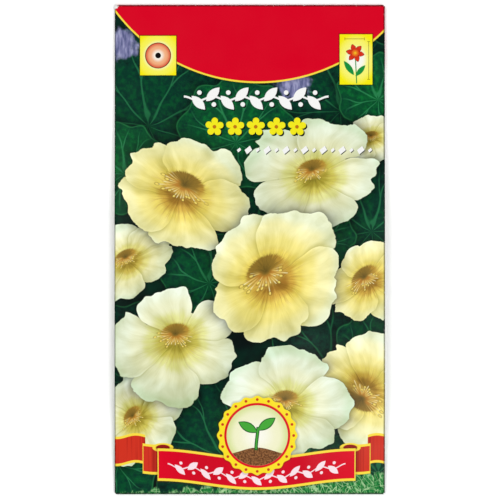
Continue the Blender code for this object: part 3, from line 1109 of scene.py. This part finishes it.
def writeRibbon(place, colour):
    x, y = acrossAndUp(place)
    wide = (ribbon["right"] - ribbon["left"]) / 2
    fromMiddle = x - (ribbon["right"] + ribbon["left"]) / 2
    beyond = abs(fromMiddle) - wide
    wave = sine(abs(fromMiddle) * 0.55 + 0.8) * 0.55
    yellow, shade, dark = header["yellow"], ribbon["shade"], ribbon["darkShade"]
    stripes = grain(pointOf(x * 1.7, y * 0.04), 1.0, 1.0) - 0.5

    tailY, tailHalf, tailStart = ribbon["tail"]
    tail = abs(y - tailY - wave) - tailHalf
    colour = inked(colour, (yellow, largest(tail, tailStart - beyond)))
    ink = blend(shade, dark, rising(beyond, 5.8, 3.4) * 0.70 + stripes * 1.3)
    colour = blend(colour, ink, within(tail + ribbon["edge"]) * within(tailStart - beyond))
    foldY, foldHalf, foldWide = ribbon["fold"]
    fold, aside = abs(y - foldY - wave * 0.4) - foldHalf, abs(beyond - 1.2) - foldWide
    ink = blend(shade, dark, rising(beyond, 3.0, -0.4) * 0.75 + stripes * 1.1)
    foldFace = largest(fold + ribbon["edge"], aside + 0.2)
    colour = inked(colour, (yellow, largest(fold, aside)), (ink, foldFace))
    rollX, rollY, halfX, halfY = ribbon["roll"]  # the rolled edge that shows behind each fold
    roll = (lengthOf((beyond - rollX) / halfX, (y - rollY) / halfY) - 1) * halfY
    colour = inked(colour, (yellow, roll), (dark, roll + 0.45))

    swing = cosine(fromMiddle * (math.pi / wide))
    bandY = y - ribbon["y"] + swing * ribbon["sag"]
    band = abs(bandY) - ribbon["half"]
    outline = largest(band, beyond)
    colour = blend(colour, ribbon["shadow"], rising(outline, 0.9, 0.0) * 0.35)
    red = dimmed(header["red"], cosine(fromMiddle * 0.21) * 0.08 + 0.96)
    colour = inked(colour, (yellow, outline))
    colour = blend(colour, red, within(band + ribbon["edge"]) * within(beyond + 0.3))
    vine = vineMask(fromMiddle, bandY + swing * 0.55 + 0.75, ribbon["vine"], wide - 3.0)
    return blend(colour, ribbon["vineInk"], vine)


seal = {
    "centre": (2.2, -54.9),
    "radius": 11.6,
    "scallops": 20,
    "scallop": 0.30,
    "yellow": (255, 230, 40),
    "shadow": (40, 30, 10),
    "beads": (10.75, 0.42),  # how far out, and their radius
    "beadInk": (206, 64, 30),
    "ring": 9.75,
    "ringInk": (222, 20, 36),
    "field": 9.05,
    "fieldInks": ((0.1, (255, 254, 240)), (0.7, (246, 246, 206)), (1.0, (222, 232, 160))),
    "soilTop": -4.6,
    "soilInks": ((0.35, (96, 58, 30)), (0.65, (150, 100, 58))),
    "leaves": ((2.7, 3.4, -0.62), (-2.7, 2.5, 0.50)),  # x, y, turn
    "leafHalf": (3.1, 1.25),
    "leafInks": ((16, 92, 36), (70, 170, 56)),
}


def writeSeal(place, colour):  # a scalloped round with a sprout
    x, y = fromCentre(place, seal)
    reach = lengthOf(x, y)
    angle = calc("ARCTAN2", y, x)
    outline = reach - seal["radius"] - cosine(angle * seal["scallops"]) * seal["scallop"]
    colour = blend(colour, seal["shadow"], rising(outline, 0.9, 0.0) * 0.35)
    pitch = 2 * math.pi / seal["scallops"]
    cell = angle / pitch
    beadsAt, beadSize = seal["beads"]
    beads = lengthOf((cell - round(cell)) * pitch * reach, reach - beadsAt) - beadSize
    field = reach - seal["field"]
    fieldInk = scaleOfColours(reach / 9, *seal["fieldInks"])
    mound = largest(field, y - seal["soilTop"] - cosine(x * 0.32))
    soil = scaleOfColours(grain(place, 1.9), *seal["soilInks"])
    stem = boxDistance(x - sine(y * 0.35) * 0.35, y + 0.9, 0.34, 3.3)
    half = seal["leafHalf"]
    greens = [leafShape(x - leafX, y - leafY, turn, *half) for leafX, leafY, turn in seal["leaves"]]
    sprout = smallest(stem, *greens)
    rimInk, leafInk = seal["leafInks"]
    return inked(
        colour, (seal["yellow"], outline), (seal["beadInk"], beads), (seal["ringInk"], reach - seal["ring"]),
        (fieldInk, field), (soil, mound), (rimInk, sprout - 0.18), (leafInk, sprout + 0.12),
    )


wearAndFoldShade = {
    # how strongly painted shade darkens the print along the folds
    "paintedFoldShade": 0.70,
    "scuffs": 0.75,
    "scuffInk": (232, 230, 224),
    "corner": 1.75,
    "cornerInk": (244, 243, 240),
}


def writeWearAndFoldShade(place, colour):  # painted shade darkens the print into the folds, and their crest is scuffed
    halfX, halfY = (rightX - leftX) / 2 / mm + 0.1, endY / mm + 0.15
    x, y = acrossAndUp(place)
    rim = boxDistance(x - (leftX + rightX) / 2 / mm, y, halfX, halfY)
    # painted shade: the print is darkened along the folds, where the paper turns away from the light
    colour = dimmed(colour, 1 - rising(rim, -0.45, -0.08) * wearAndFoldShade["paintedFoldShade"])
    scuffs = rising(grain(place, 0.9, 4.0, 0.7), 0.60, 0.72) * rising(rim, -0.30, 0.05)
    colour = blend(colour, wearAndFoldShade["scuffInk"], scuffs * wearAndFoldShade["scuffs"])
    corner = reachFrom(place, -halfX, halfY) + grain(place, 1.6, 3.0) * 1.4
    return blend(colour, wearAndFoldShade["cornerInk"], rising(corner, wearAndFoldShade["corner"], wearAndFoldShade["corner"] - 0.4))


frontMotifs = (
    writeGrass, writeHeader, writeSunBox, writeSizeBox, writeRows, writeRibbon, writeSeal, writeWearAndFoldShade,
)


def writeFront(place):
    (colour,) = useGroup(picture, place)
    for motif in frontMotifs:
        colour = motif(later(place, colour), colour)
    return (colour,)


frontArt = makeGroup("frontPrint", ("Place",), ("Colour",), writeFront)
print("print: picture, header, boxes, rows, ribbon and seal")

# The back's print, in millimetres from the middle of the back as seen from behind. The panel and the
# flaps over it share one drawing, so nothing jumps where a flap ends.
backArt = {
    "ground": ((0.0, (206, 230, 188)), (0.30, (240, 246, 226)), (1.0, (253, 252, 246))),
    "green": (20, 122, 62),
    "frameHalf": (35.4, 50.4),
    "frameMiddle": -2.0,
    "frameCorner": 3.0,
    "header": (64.0, 9.2),  # y and half height
    "vineY": 63.0,
    "lawnTop": -60.5,
    "lawnInks": ((0.3, (4, 84, 44)), (0.55, (20, 122, 60)), (0.75, (96, 176, 96))),
    "rosettes": {"pitch": 9.0, "reach": 3, "size": 2.6, "eyeInk": (255, 226, 70)},
    "rosettesY": -42.5,
}
backCentre = (2 * rightX + math.pi * rightRadius) / mm
flapMirror = (2 * endY + math.pi * endRadius) / mm


def writeBackGround(x, y):
    colour = scaleOfColours((y + 73) / 146, *backArt["ground"])
    (halfX, halfY), corner = backArt["frameHalf"], backArt["frameCorner"]
    cornerX = largest(abs(x) - (halfX - corner), 0.0)
    cornerY = largest(abs(y - backArt["frameMiddle"]) - (halfY - corner), 0.0)
    frameLine = abs(lengthOf(cornerX, cornerY) - corner) - 0.3
    headerY, headerHalf = backArt["header"]
    top = boxDistance(x, y - headerY, 60, headerHalf)
    waves = sine(x * 0.35) * 0.9 + sine(x * 0.83 + 1) * 0.5
    tufts = grain(pointOf(x * 2.4 + y * 0.6, y * 0.3), 1.0, 3.0, 0.7)
    bands = (header["yellow"], top - 0.55), (header["red"], top)
    colour = inked(colour, (backArt["green"], frameLine), *bands)
    lawn = scaleOfColours(tufts, *backArt["lawnInks"])
    return blend(colour, lawn, within(y - backArt["lawnTop"] - waves, 0.5))


growth = {  # from left to right: a seed in the soil, a sprout, a young plant and one in bloom
    "box": (21.0, 32.4, 19.4),  # y and half sizes
    "sky": ((0.1, (250, 252, 240)), (1.0, (170, 214, 236))),
    "soilTop": 10.5,
    "soilInks": ((0.3, (92, 58, 32)), (0.5, (126, 84, 48)), (0.7, (166, 122, 76))),
    "kernel": (-27.0, 5.6, 1.7),  # x, y, radius
    "kernelInks": ((70, 44, 22), (220, 190, 132)),
    "stalks": (  # x, y, half length
        (-13.5, 10.5, 4.4), (3.5, 12.4, 6.6), (22.5, 14.0, 8.6), (17.6, 12.0, 5.6), (27.2, 12.6, 6.2),
    ),
    "stalkInk": (62, 140, 54),
    "leaves": (  # x, y, half length, half width, turn
        (-15.3, 15.0, 2.0, 0.95, -0.6), (-11.6, 15.3, 2.0, 0.95, 0.6), (0.6, 14.6, 2.9, 1.6, -0.4),
        (6.6, 16.6, 2.9, 1.6, 0.5), (1.6, 19.8, 2.5, 1.4, -0.9), (19.2, 17.2, 3.0, 1.9, -0.5),
        (26.0, 17.8, 3.0, 1.9, 0.4), (15.0, 15.8, 2.6, 1.7, -0.2), (30.0, 15.6, 2.4, 1.5, 0.2),
        (22.2, 14.6, 2.6, 1.6, 1.4),
    ),
    "leafInks": ((12, 84, 40), (64, 156, 66)),
    "blooms": ((22.6, 24.6, 4.6), (16.4, 21.8, 3.5), (28.4, 22.4, 3.7)),
    "bloomInks": ((168, 150, 60), (250, 240, 166), (214, 150, 40)),
}


def writeGrowth(x, y, colour):
    middleY, *half = growth["box"]
    edge = boxDistance(x, y - middleY, *half)
    sky = scaleOfColours((y - 4) / 36, *growth["sky"])
    soil = scaleOfColours(grain(pointOf(x, y), 1.1, 3.0, 0.7), *growth["soilInks"])
    ground = largest(edge, y - growth["soilTop"] - sine(x * 0.28) * 0.6)
    colour = inked(colour, (backArt["green"], edge - 0.35), (sky, edge), (soil, ground))
    kernelX, kernelY, radius = growth["kernel"]
    kernel = lengthOf(x - kernelX, (y - kernelY) * 1.15) - radius
    stalks = smallest(*[
        boxDistance(x - stemX - sine(y * 0.3 + stemX) * 0.5, y - stemY, 0.32, half)
        for stemX, stemY, half in growth["stalks"]
    ])
    blades = smallest(*[
        leafShape(x - leafX, y - leafY, -turn, length, width)
        for leafX, leafY, length, width, turn in growth["leaves"]
    ])
    (huskInk, kernelInk), (rimInk, leafInk) = growth["kernelInks"], growth["leafInks"]
    colour = inked(
        colour, (huskInk, kernel - 0.25), (kernelInk, kernel), (growth["stalkInk"], stalks),
        (rimInk, blades - 0.15), (leafInk, blades + 0.15),
    )
    rimInk, petalInk, eyeInk = growth["bloomInks"]
    for bloomX, bloomY, size in growth["blooms"]:
        colour = blend(colour, rimInk, rosetteMasks(x - bloomX, y - bloomY, size + 0.3)[0])
        petalMask, eye = rosetteMasks(x - bloomX, y - bloomY, size)
        colour = blend(blend(colour, petalInk, petalMask), eyeInk, eye)
    return colour


calendar = {
    "box": (-10.0, 32.4, 4.6),  # y and half sizes
    "paperInk": (255, 255, 250),
    "months": 12,
    "bars": ((-12.15, 7.6, 1, (250, 206, 52)), (8.1, 12.7, -1, (224, 66, 60))),  # x, half length, row, ink
}


def writeCalendar(x, y, colour):
    middleY, halfX, halfY = calendar["box"]
    up = y - middleY
    edge = boxDistance(x, up, halfX, halfY)
    bars = [
        (ink, boxDistance(x - centre, up - row * halfY / 2, reach, halfY / 2 - 0.9))
        for centre, reach, row, ink in calendar["bars"]
    ]
    colour = inked(colour, (calendar["paperInk"], edge), *bars)
    month = 2 * halfX / calendar["months"]
    cell = (x + halfX) / month
    lines = smallest(abs(cell - round(cell)) * month - 0.09, abs(up) - 0.09, abs(edge) - 0.25)
    return blend(colour, backArt["green"], within(lines) * within(edge - 0.3))


rounds = {
    "middles": (-24.3, -8.1, 8.1, 24.3),
    "y": -25.6,
    "radius": 6.4,
    "ringInk": (240, 250, 232),
    "markInk": (250, 254, 244),
}


def writeRounds(x, y, colour):  # sun, water, sprout and spacing, as white marks on green rounds
    y = y - rounds["y"]
    first, second = rounds["middles"][:2]
    near = smallest(largest(round((x - first) / (second - first)), 0.0), len(rounds["middles"]) - 1)
    rim = lengthOf(x - first - near * (second - first), y) - rounds["radius"]
    sunX, dropX, sproutX, gapX = [x - middle for middle in rounds["middles"]]
    sunReach = lengthOf(sunX, y)
    rays = largest(abs(sunReach - 3.6) - 0.85, cosine(calc("ARCTAN2", y, sunX) * 8) * -1.2)
    dropWidth = largest(2.4 - largest(y - 0.2, 0.0) * 0.62, 0.0)
    drop = largest(lengthOf(dropX, smallest(y + 1.0, 0.0)) - dropWidth, y - 4.0)
    marks = [sunReach - 1.9, rays, drop, boxDistance(gapX, y + 3.9, 2.3, 0.16)]
    for sx, size in ((sproutX, 1.35), (gapX + 2.3, 0.75), (gapX - 2.3, 0.75)):
        marks.append(boxDistance(sx, y + 0.8, 0.22, 2.4))
        for side in (-1, 1):
            marks.append(leafShape(sx + side * 1.2 * size, y - 1.6, side * 0.6, 1.5 * size, 0.62 * size))
    ring, mark = (rounds["ringInk"], abs(rim + 0.7) - 0.18), (rounds["markInk"], smallest(*marks))
    return inked(colour, (backArt["green"], rim), ring, mark)


def writeBackRows(x, y, colour):
    colour = writeRosettes(x, y - backArt["rosettesY"], colour, backArt["rosettes"], header["red"])
    return writeVine(x, y - backArt["vineY"], colour, vineRow["ink"])


def writeBack(sheet):
    u, v = acrossAndUp(sheet)
    onFlap = calc("GREATER_THAN", abs(v), (endY + endRadius) / mm)
    x = mixed("FLOAT", onFlap, u - backCentre, -u)
    y = mixed("FLOAT", onFlap, v, calc("SIGN", v) * flapMirror - v)
    seen = pointOf(x, y)
    colour = writeBackGround(x, y)
    for motif in (writeGrowth, writeCalendar, writeRounds, writeBackRows):
        colour = motif(*acrossAndUp(later(seen, colour)), colour)
    return (colour,)


backPrint = makeGroup("backPrint", ("Place",), ("Colour",), writeBack)
print("print: growth picture, calendar and round marks on the back")

paperLook = {
    "gain": 0.84,
    "shine": 0.10,
    "plainShine": 0.25,
    "roughness": 0.34,
    "plainRoughness": 0.8,
    "fibre": 0.35,
    "plainFibre": 0.6,
    "fibreDepth": 0.00003,
    "white": (244, 242, 234),
    "edge": (232, 228, 214),
}


def makeMaterial(name, write):  # write gives colour, roughness, shine, and a relief with strength and depth
    material = bpy.data.materials.new(name)
    material.use_nodes = True
    material.node_tree.nodes.clear()
    bench.append(material.node_tree)
    colour, roughness, shine, height, strength, depth = write()
    bump = addNode("ShaderNodeBump", {"Height": height, "Strength": strength, "Distance": depth})
    finish = {"Roughness": roughness, "Specular IOR Level": shine, "Normal": Wire(bump.outputs[0])}
    shader = addNode("ShaderNodeBsdfPrincipled", {"Base Color": colour, **finish})
    addNode("ShaderNodeOutputMaterial", {"Surface": Wire(shader.outputs[0])})
    bench.pop()
    return material


def sheetPlace():  # the place on the flat sheet, in millimetres
    return Wire(addNode("ShaderNodeUVMap", uv_map="printMap").outputs[0])


def fibres(place):
    return grain(place, 3.2, 4.0, 0.7) * 0.6 + grain(place, 0.35) * 0.8


def makePrintMaterial(name, art):
    def write():
        place = sheetPlace()
        colour = dimmed(useGroup(art, place)[0], paperLook["gain"])
        roughness = grain(place, 0.12, 3.0) * 0.14 + (paperLook["roughness"] - 0.07)
        relief = (fibres(place), paperLook["fibre"], paperLook["fibreDepth"])
        return colour, roughness, paperLook["shine"], *relief

    return makeMaterial(name, write)


def makePlainMaterial(name, inkColour):
    def write():
        place = sheetPlace()
        colour = dimmed(inkColour, grain(place, 0.6, 4.0, 0.65) * 0.10 + 0.90)
        relief = (fibres(place), paperLook["plainFibre"], paperLook["fibreDepth"])
        return colour, paperLook["plainRoughness"], paperLook["plainShine"], *relief

    return makeMaterial(name, write)


frontMaterial = makePrintMaterial("coatedFrontPrint", frontArt)
backMaterial = makePrintMaterial("coatedBackPrint", backPrint)
insideMaterial = makePlainMaterial("uncoatedInside", paperLook["white"])
edgeMaterial = makePlainMaterial("cutEdge", paperLook["edge"])

# Where the parts of the sheet lie in the square map: left, bottom, units per millimetre, first u, first v
bakeAreas = {
    "front": (0.003, 0.003, 0.00675, -40.3, -73.3),
    "back": (0.556, 0.003, 0.0049, 40.0, -72.3),
    "lap": (0.950, 0.003, 0.0040, -50.2, -68.3),
    "topFlap": (0.556, 0.735, 0.0044, -40.0, 72.5),
    "bottomFlap": (0.556, 0.825, 0.0044, -40.0, -87.3),
    "inside": (0.556, 0.900, 0.00054, -50.2, -87.3),
    "rim": (0.700, 0.900, 0.00054, -50.2, -87.3),
}
rimWidth = 1.6  # how wide the thin rim is laid out, in millimetres


def layOutForBaking(solid):
    faceCount, cornerCount = len(solid.polygons), len(solid.loops)
    slotOf, sides = np.empty(faceCount, dtype=int), np.empty(faceCount, dtype=int)
    solid.polygons.foreach_get("material_index", slotOf)
    solid.polygons.foreach_get("loop_total", sides)
    owner = np.repeat(np.arange(faceCount), sides)
    spot = np.empty(cornerCount * 2)
    solid.uv_layers["printMap"].data.foreach_get("uv", spot)
    spot = spot.reshape(-1, 2)
    middleU, middleV = [np.bincount(owner, spot[:, axis]) / sides for axis in (0, 1)]
    vertex = np.empty(cornerCount, dtype=int)
    solid.loops.foreach_get("vertex_index", vertex)
    innerSide = vertex >= len(solid.vertices) // 2
    past = (endY + endRadius) / mm
    onBack = slotOf == 1
    onPanel = onBack & (np.abs(middleV) < past)
    facesOf = {
        "front": slotOf == 0,
        "back": onPanel & (middleU > 0),
        "lap": onPanel & (middleU < 0),
        "topFlap": onBack & (middleV > past),
        "bottomFlap": onBack & (middleV < -past),
        "inside": (slotOf == 2) | (slotOf == 3),
        "rim": slotOf >= 4,
    }
    placed = np.zeros_like(spot)
    for name, faces in facesOf.items():
        left, bottom, scale, firstU, firstV = bakeAreas[name]
        corners = faces[owner]
        shift = innerSide[:, None] * (rimWidth if name == "rim" else 0.0)
        laid = (spot + shift - (firstU, firstV)) * scale + (left, bottom)
        placed[corners] = laid[corners]
    solid.uv_layers.new(name="OFBake").data.foreach_set("uv", placed.ravel())


slots = [frontMaterial, backMaterial, insideMaterial, insideMaterial, edgeMaterial, edgeMaterial]
lines = sheetColumns(), sheetRows()
sleeve = makeSheet("printedSleeve", *lines, inBlank, foldedSheet, packet["paper"], slots)
layOutForBaking(sleeve.data)
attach(sleeve, "root")
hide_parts("paper_sleeve")
print("sleeve:", len(sleeve.data.polygons), "faces")

# The dried glue: one strip down the side seam and one under each flap, each with an uneven margin.
glueLook = {
    "width": 0.005,
    "inset": 0.0025,
    "cell": 0.0005,
    "shrink": 0.16,
    "colours": ((0.3, (206, 190, 140)), (0.6, (226, 214, 172)), (0.8, (236, 228, 196))),
    "roughness": 0.28,
    "shine": 0.5,
    "ripples": (0.5, 0.00002),  # strength and depth
}


def writeGlue():
    place = sheetPlace()
    clouds = grain(place, 0.8, 4.0, 0.6)
    colour = scaleOfColours(clouds, *glueLook["colours"])
    roughness = clouds * 0.3 + (glueLook["roughness"] - 0.1)
    return colour, roughness, glueLook["shine"], grain(place, 2.2, 3.0), *glueLook["ripples"]


def makeGlue(name, node, columns, rows, dropUnderBack, alongX):
    middleX, middleY = (columns[0] + columns[-1]) / 2, (rows[0] + rows[-1]) / 2

    def laid(u, v):
        run = u if alongX else v
        ragged = 1 - glueLook["shrink"] * (0.5 + 0.3 * np.sin(run * 2100) + 0.2 * np.sin(run * 5300 + 1))
        x = u if alongX else middleX + (u - middleX) * ragged
        y = middleY + (v - middleY) * ragged if alongX else v
        return x, y, backHeight(x, y) + dropUnderBack

    film = makeSheet(name, columns, rows, lambda u, v: u < 1, laid, packet["glue"], [glueMaterial])
    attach(film, "root")
    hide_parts(node)


glueMaterial = makeMaterial("driedPaperGlue", writeGlue)
seamDrop = (backDrop - lapDrop) / 2
seamStart = leftX + glueLook["inset"]
seamEnd = endY - packet["lapTrim"] - 2 * packet["paper"]
flapReach = rightX - packet["lap"]
cell, width = glueLook["cell"], glueLook["width"]
seamLines = steps(seamStart, seamStart + width, cell), steps(-seamEnd, seamEnd, cell)
makeGlue("sideSeamGlue", "side_seam_glue", *seamLines, seamDrop, False)
for name, node, sign, depth in (
    ("topFlapGlue", "top_flap_glue", 1, packet["topFlap"]),
    ("bottomFlapGlue", "bottom_flap_glue", -1, packet["bottomFlap"]),
):
    tip = endY - depth + glueLook["inset"]
    low, high = sorted((sign * tip, sign * (tip + width)))
    makeGlue(name, node, steps(-flapReach, flapReach, cell), steps(low, high, cell), -seamDrop, True)
print("glue: three films")

huskLook = {
    "colours": (
        (0.28, (108, 80, 50)), (0.45, (158, 126, 84)), (0.60, (188, 158, 112)), (0.78, (214, 190, 148)),
    ),
    "patches": (620, 5.0, 0.66),
    "pits": (2400, 3.0, 0.6),
    "roughness": 0.88,
    "shine": 0.2,
    "pitted": (0.8, 0.00012),  # strength and depth
}


def writeHusk():
    place = Wire(addNode("ShaderNodeTexCoord").outputs["Object"])
    patches, pits = [grain(place, *huskLook[kind], flat=False) for kind in ("patches", "pits")]
    colour = scaleOfColours(patches * 0.7 + pits * 0.3, *huskLook["colours"])
    return colour, huskLook["roughness"], huskLook["shine"], pits, *huskLook["pitted"]


def makeSeed(number, spot, finish):  # an egg with one flattened side, ridged from end to end and wrinkled
    draw = random.Random(seeds["draw"] + number)
    bm = bmesh.new()
    bmesh.ops.create_uvsphere(bm, u_segments=seeds["meridians"], v_segments=seeds["parallels"], radius=1.0)
    bm.faces.sort(key=lambda face: sum(vert.index**2 for vert in face.verts))  # Blender's order varies
    phase = draw.uniform(0, 2 * math.pi)
    wander = draw.uniform(*seeds["ridgeWander"])
    size = draw.uniform(*seeds["sizes"])
    half = [seeds[side] / 2 * size for side in ("length", "width", "height")]
    for vert in bm.verts:
        along, side, up = vert.co.z, vert.co.x, vert.co.y
        around = math.atan2(up, side)
        belly = math.sqrt(max(0.0, 1 - along * along))
        ridge = math.cos(seeds["ridges"] * around + phase + wander * math.sin(2.4 * along + phase))
        knot = math.sin(5.1 * along + 2 * around + phase)
        swell = 1 + belly * (seeds["ridgeDepth"] * ridge + seeds["knotDepth"] * knot)
        keel = 1 - seeds["flatSide"] * belly * float(ease(-up))
        spotOnHusk = vert.co * seeds["wrinkleScale"] + Vector((number * 9.0, 0, 0))
        wrinkle = abs(noise.noise(spotOnHusk)) + 0.5 * abs(noise.noise(spotOnHusk * 2.7))
        shrunk = 1 - seeds["wrinkle"] * 4 * wrinkle * belly
        length = half[0] * (1 + seeds["knotDepth"] * knot)
        vert.co = (along * length, side * half[1] * swell * shrunk, up * half[2] * swell * keel * shrunk)
    lowest = min(vert.co.z for vert in bm.verts)
    bmesh.ops.translate(bm, vec=(0, 0, -lowest), verts=bm.verts)
    turn = Matrix.Rotation(draw.uniform(0, math.pi), 4, "Z")
    seat = Matrix.Translation((*spot, packet["paper"] + packet["seat"]))
    bmesh.ops.transform(bm, matrix=seat @ turn, verts=bm.verts)
    piece = addMesh(f"nasturtiumSeed{number}", bm, [finish])
    piece.data.shade_smooth()
    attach(piece, "root")
    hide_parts(f"seed_{number}")


huskMaterial = makeMaterial("corkyHusk", writeHusk)
for number, spot in enumerate(seedSpots, start=1):
    makeSeed(number, spot, huskMaterial)
print("seeds:", len(seedSpots))


def makeWorld():
    world = bpy.data.worlds.new("softDome")
    scene.world = world
    world.use_nodes = True
    bench.append(world.node_tree)
    background = world.node_tree.nodes["Background"]
    up = partsOf(Wire(addNode("ShaderNodeTexCoord").outputs["Generated"]))[2]
    above, overhead = rising(up, *studio["horizonZone"]), rising(up, *studio["zenithZone"])
    strength = mixed("FLOAT", above, studio["horizonLight"], studio["domeLight"])
    strength = mixed("FLOAT", overhead, strength, studio["zenithLight"])
    feed(background.inputs["Strength"], strength)
    background.inputs["Color"].default_value = (1.0, 1.0, 1.0, 1.0)
    bench.pop()


def makeLamp(name, place, power):
    lampData = bpy.data.lights.new(name, "AREA")
    lampData.shape = "DISK"
    lampData.size = studio["lampSize"]
    lampData.energy = power
    lamp = addObject(name, lampData)
    lamp.location = place
    lamp.rotation_euler = (-Vector(place)).to_track_quat("-Z", "Y").to_euler()


def makeFloor():
    material = bpy.data.materials.new("paleFloor")
    material.use_nodes = True
    shader = material.node_tree.nodes["Principled BSDF"]
    shader.inputs["Base Color"].default_value = (*studio["floorColour"], 1.0)
    shader.inputs["Roughness"].default_value = studio["floorRoughness"]
    shader.inputs["Specular IOR Level"].default_value = studio["floorShine"]
    bm = bmesh.new()
    bmesh.ops.create_grid(bm, x_segments=1, y_segments=1, size=studio["floorHalf"])
    floor = addMesh("studioFloor", bm, [material])
    floor.location.z = studio["floorLevel"]
    floor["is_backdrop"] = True


makeWorld()
makeLamp("keyLamp", studio["keyPlace"], studio["keyPower"])
makeLamp("fillLamp", studio["fillPlace"], studio["fillPower"])
makeFloor()
print("studio: floor, dome and two soft lamps")

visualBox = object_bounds()
[[list(corner) for corner in box] for box in (cadBox, visualBox)]
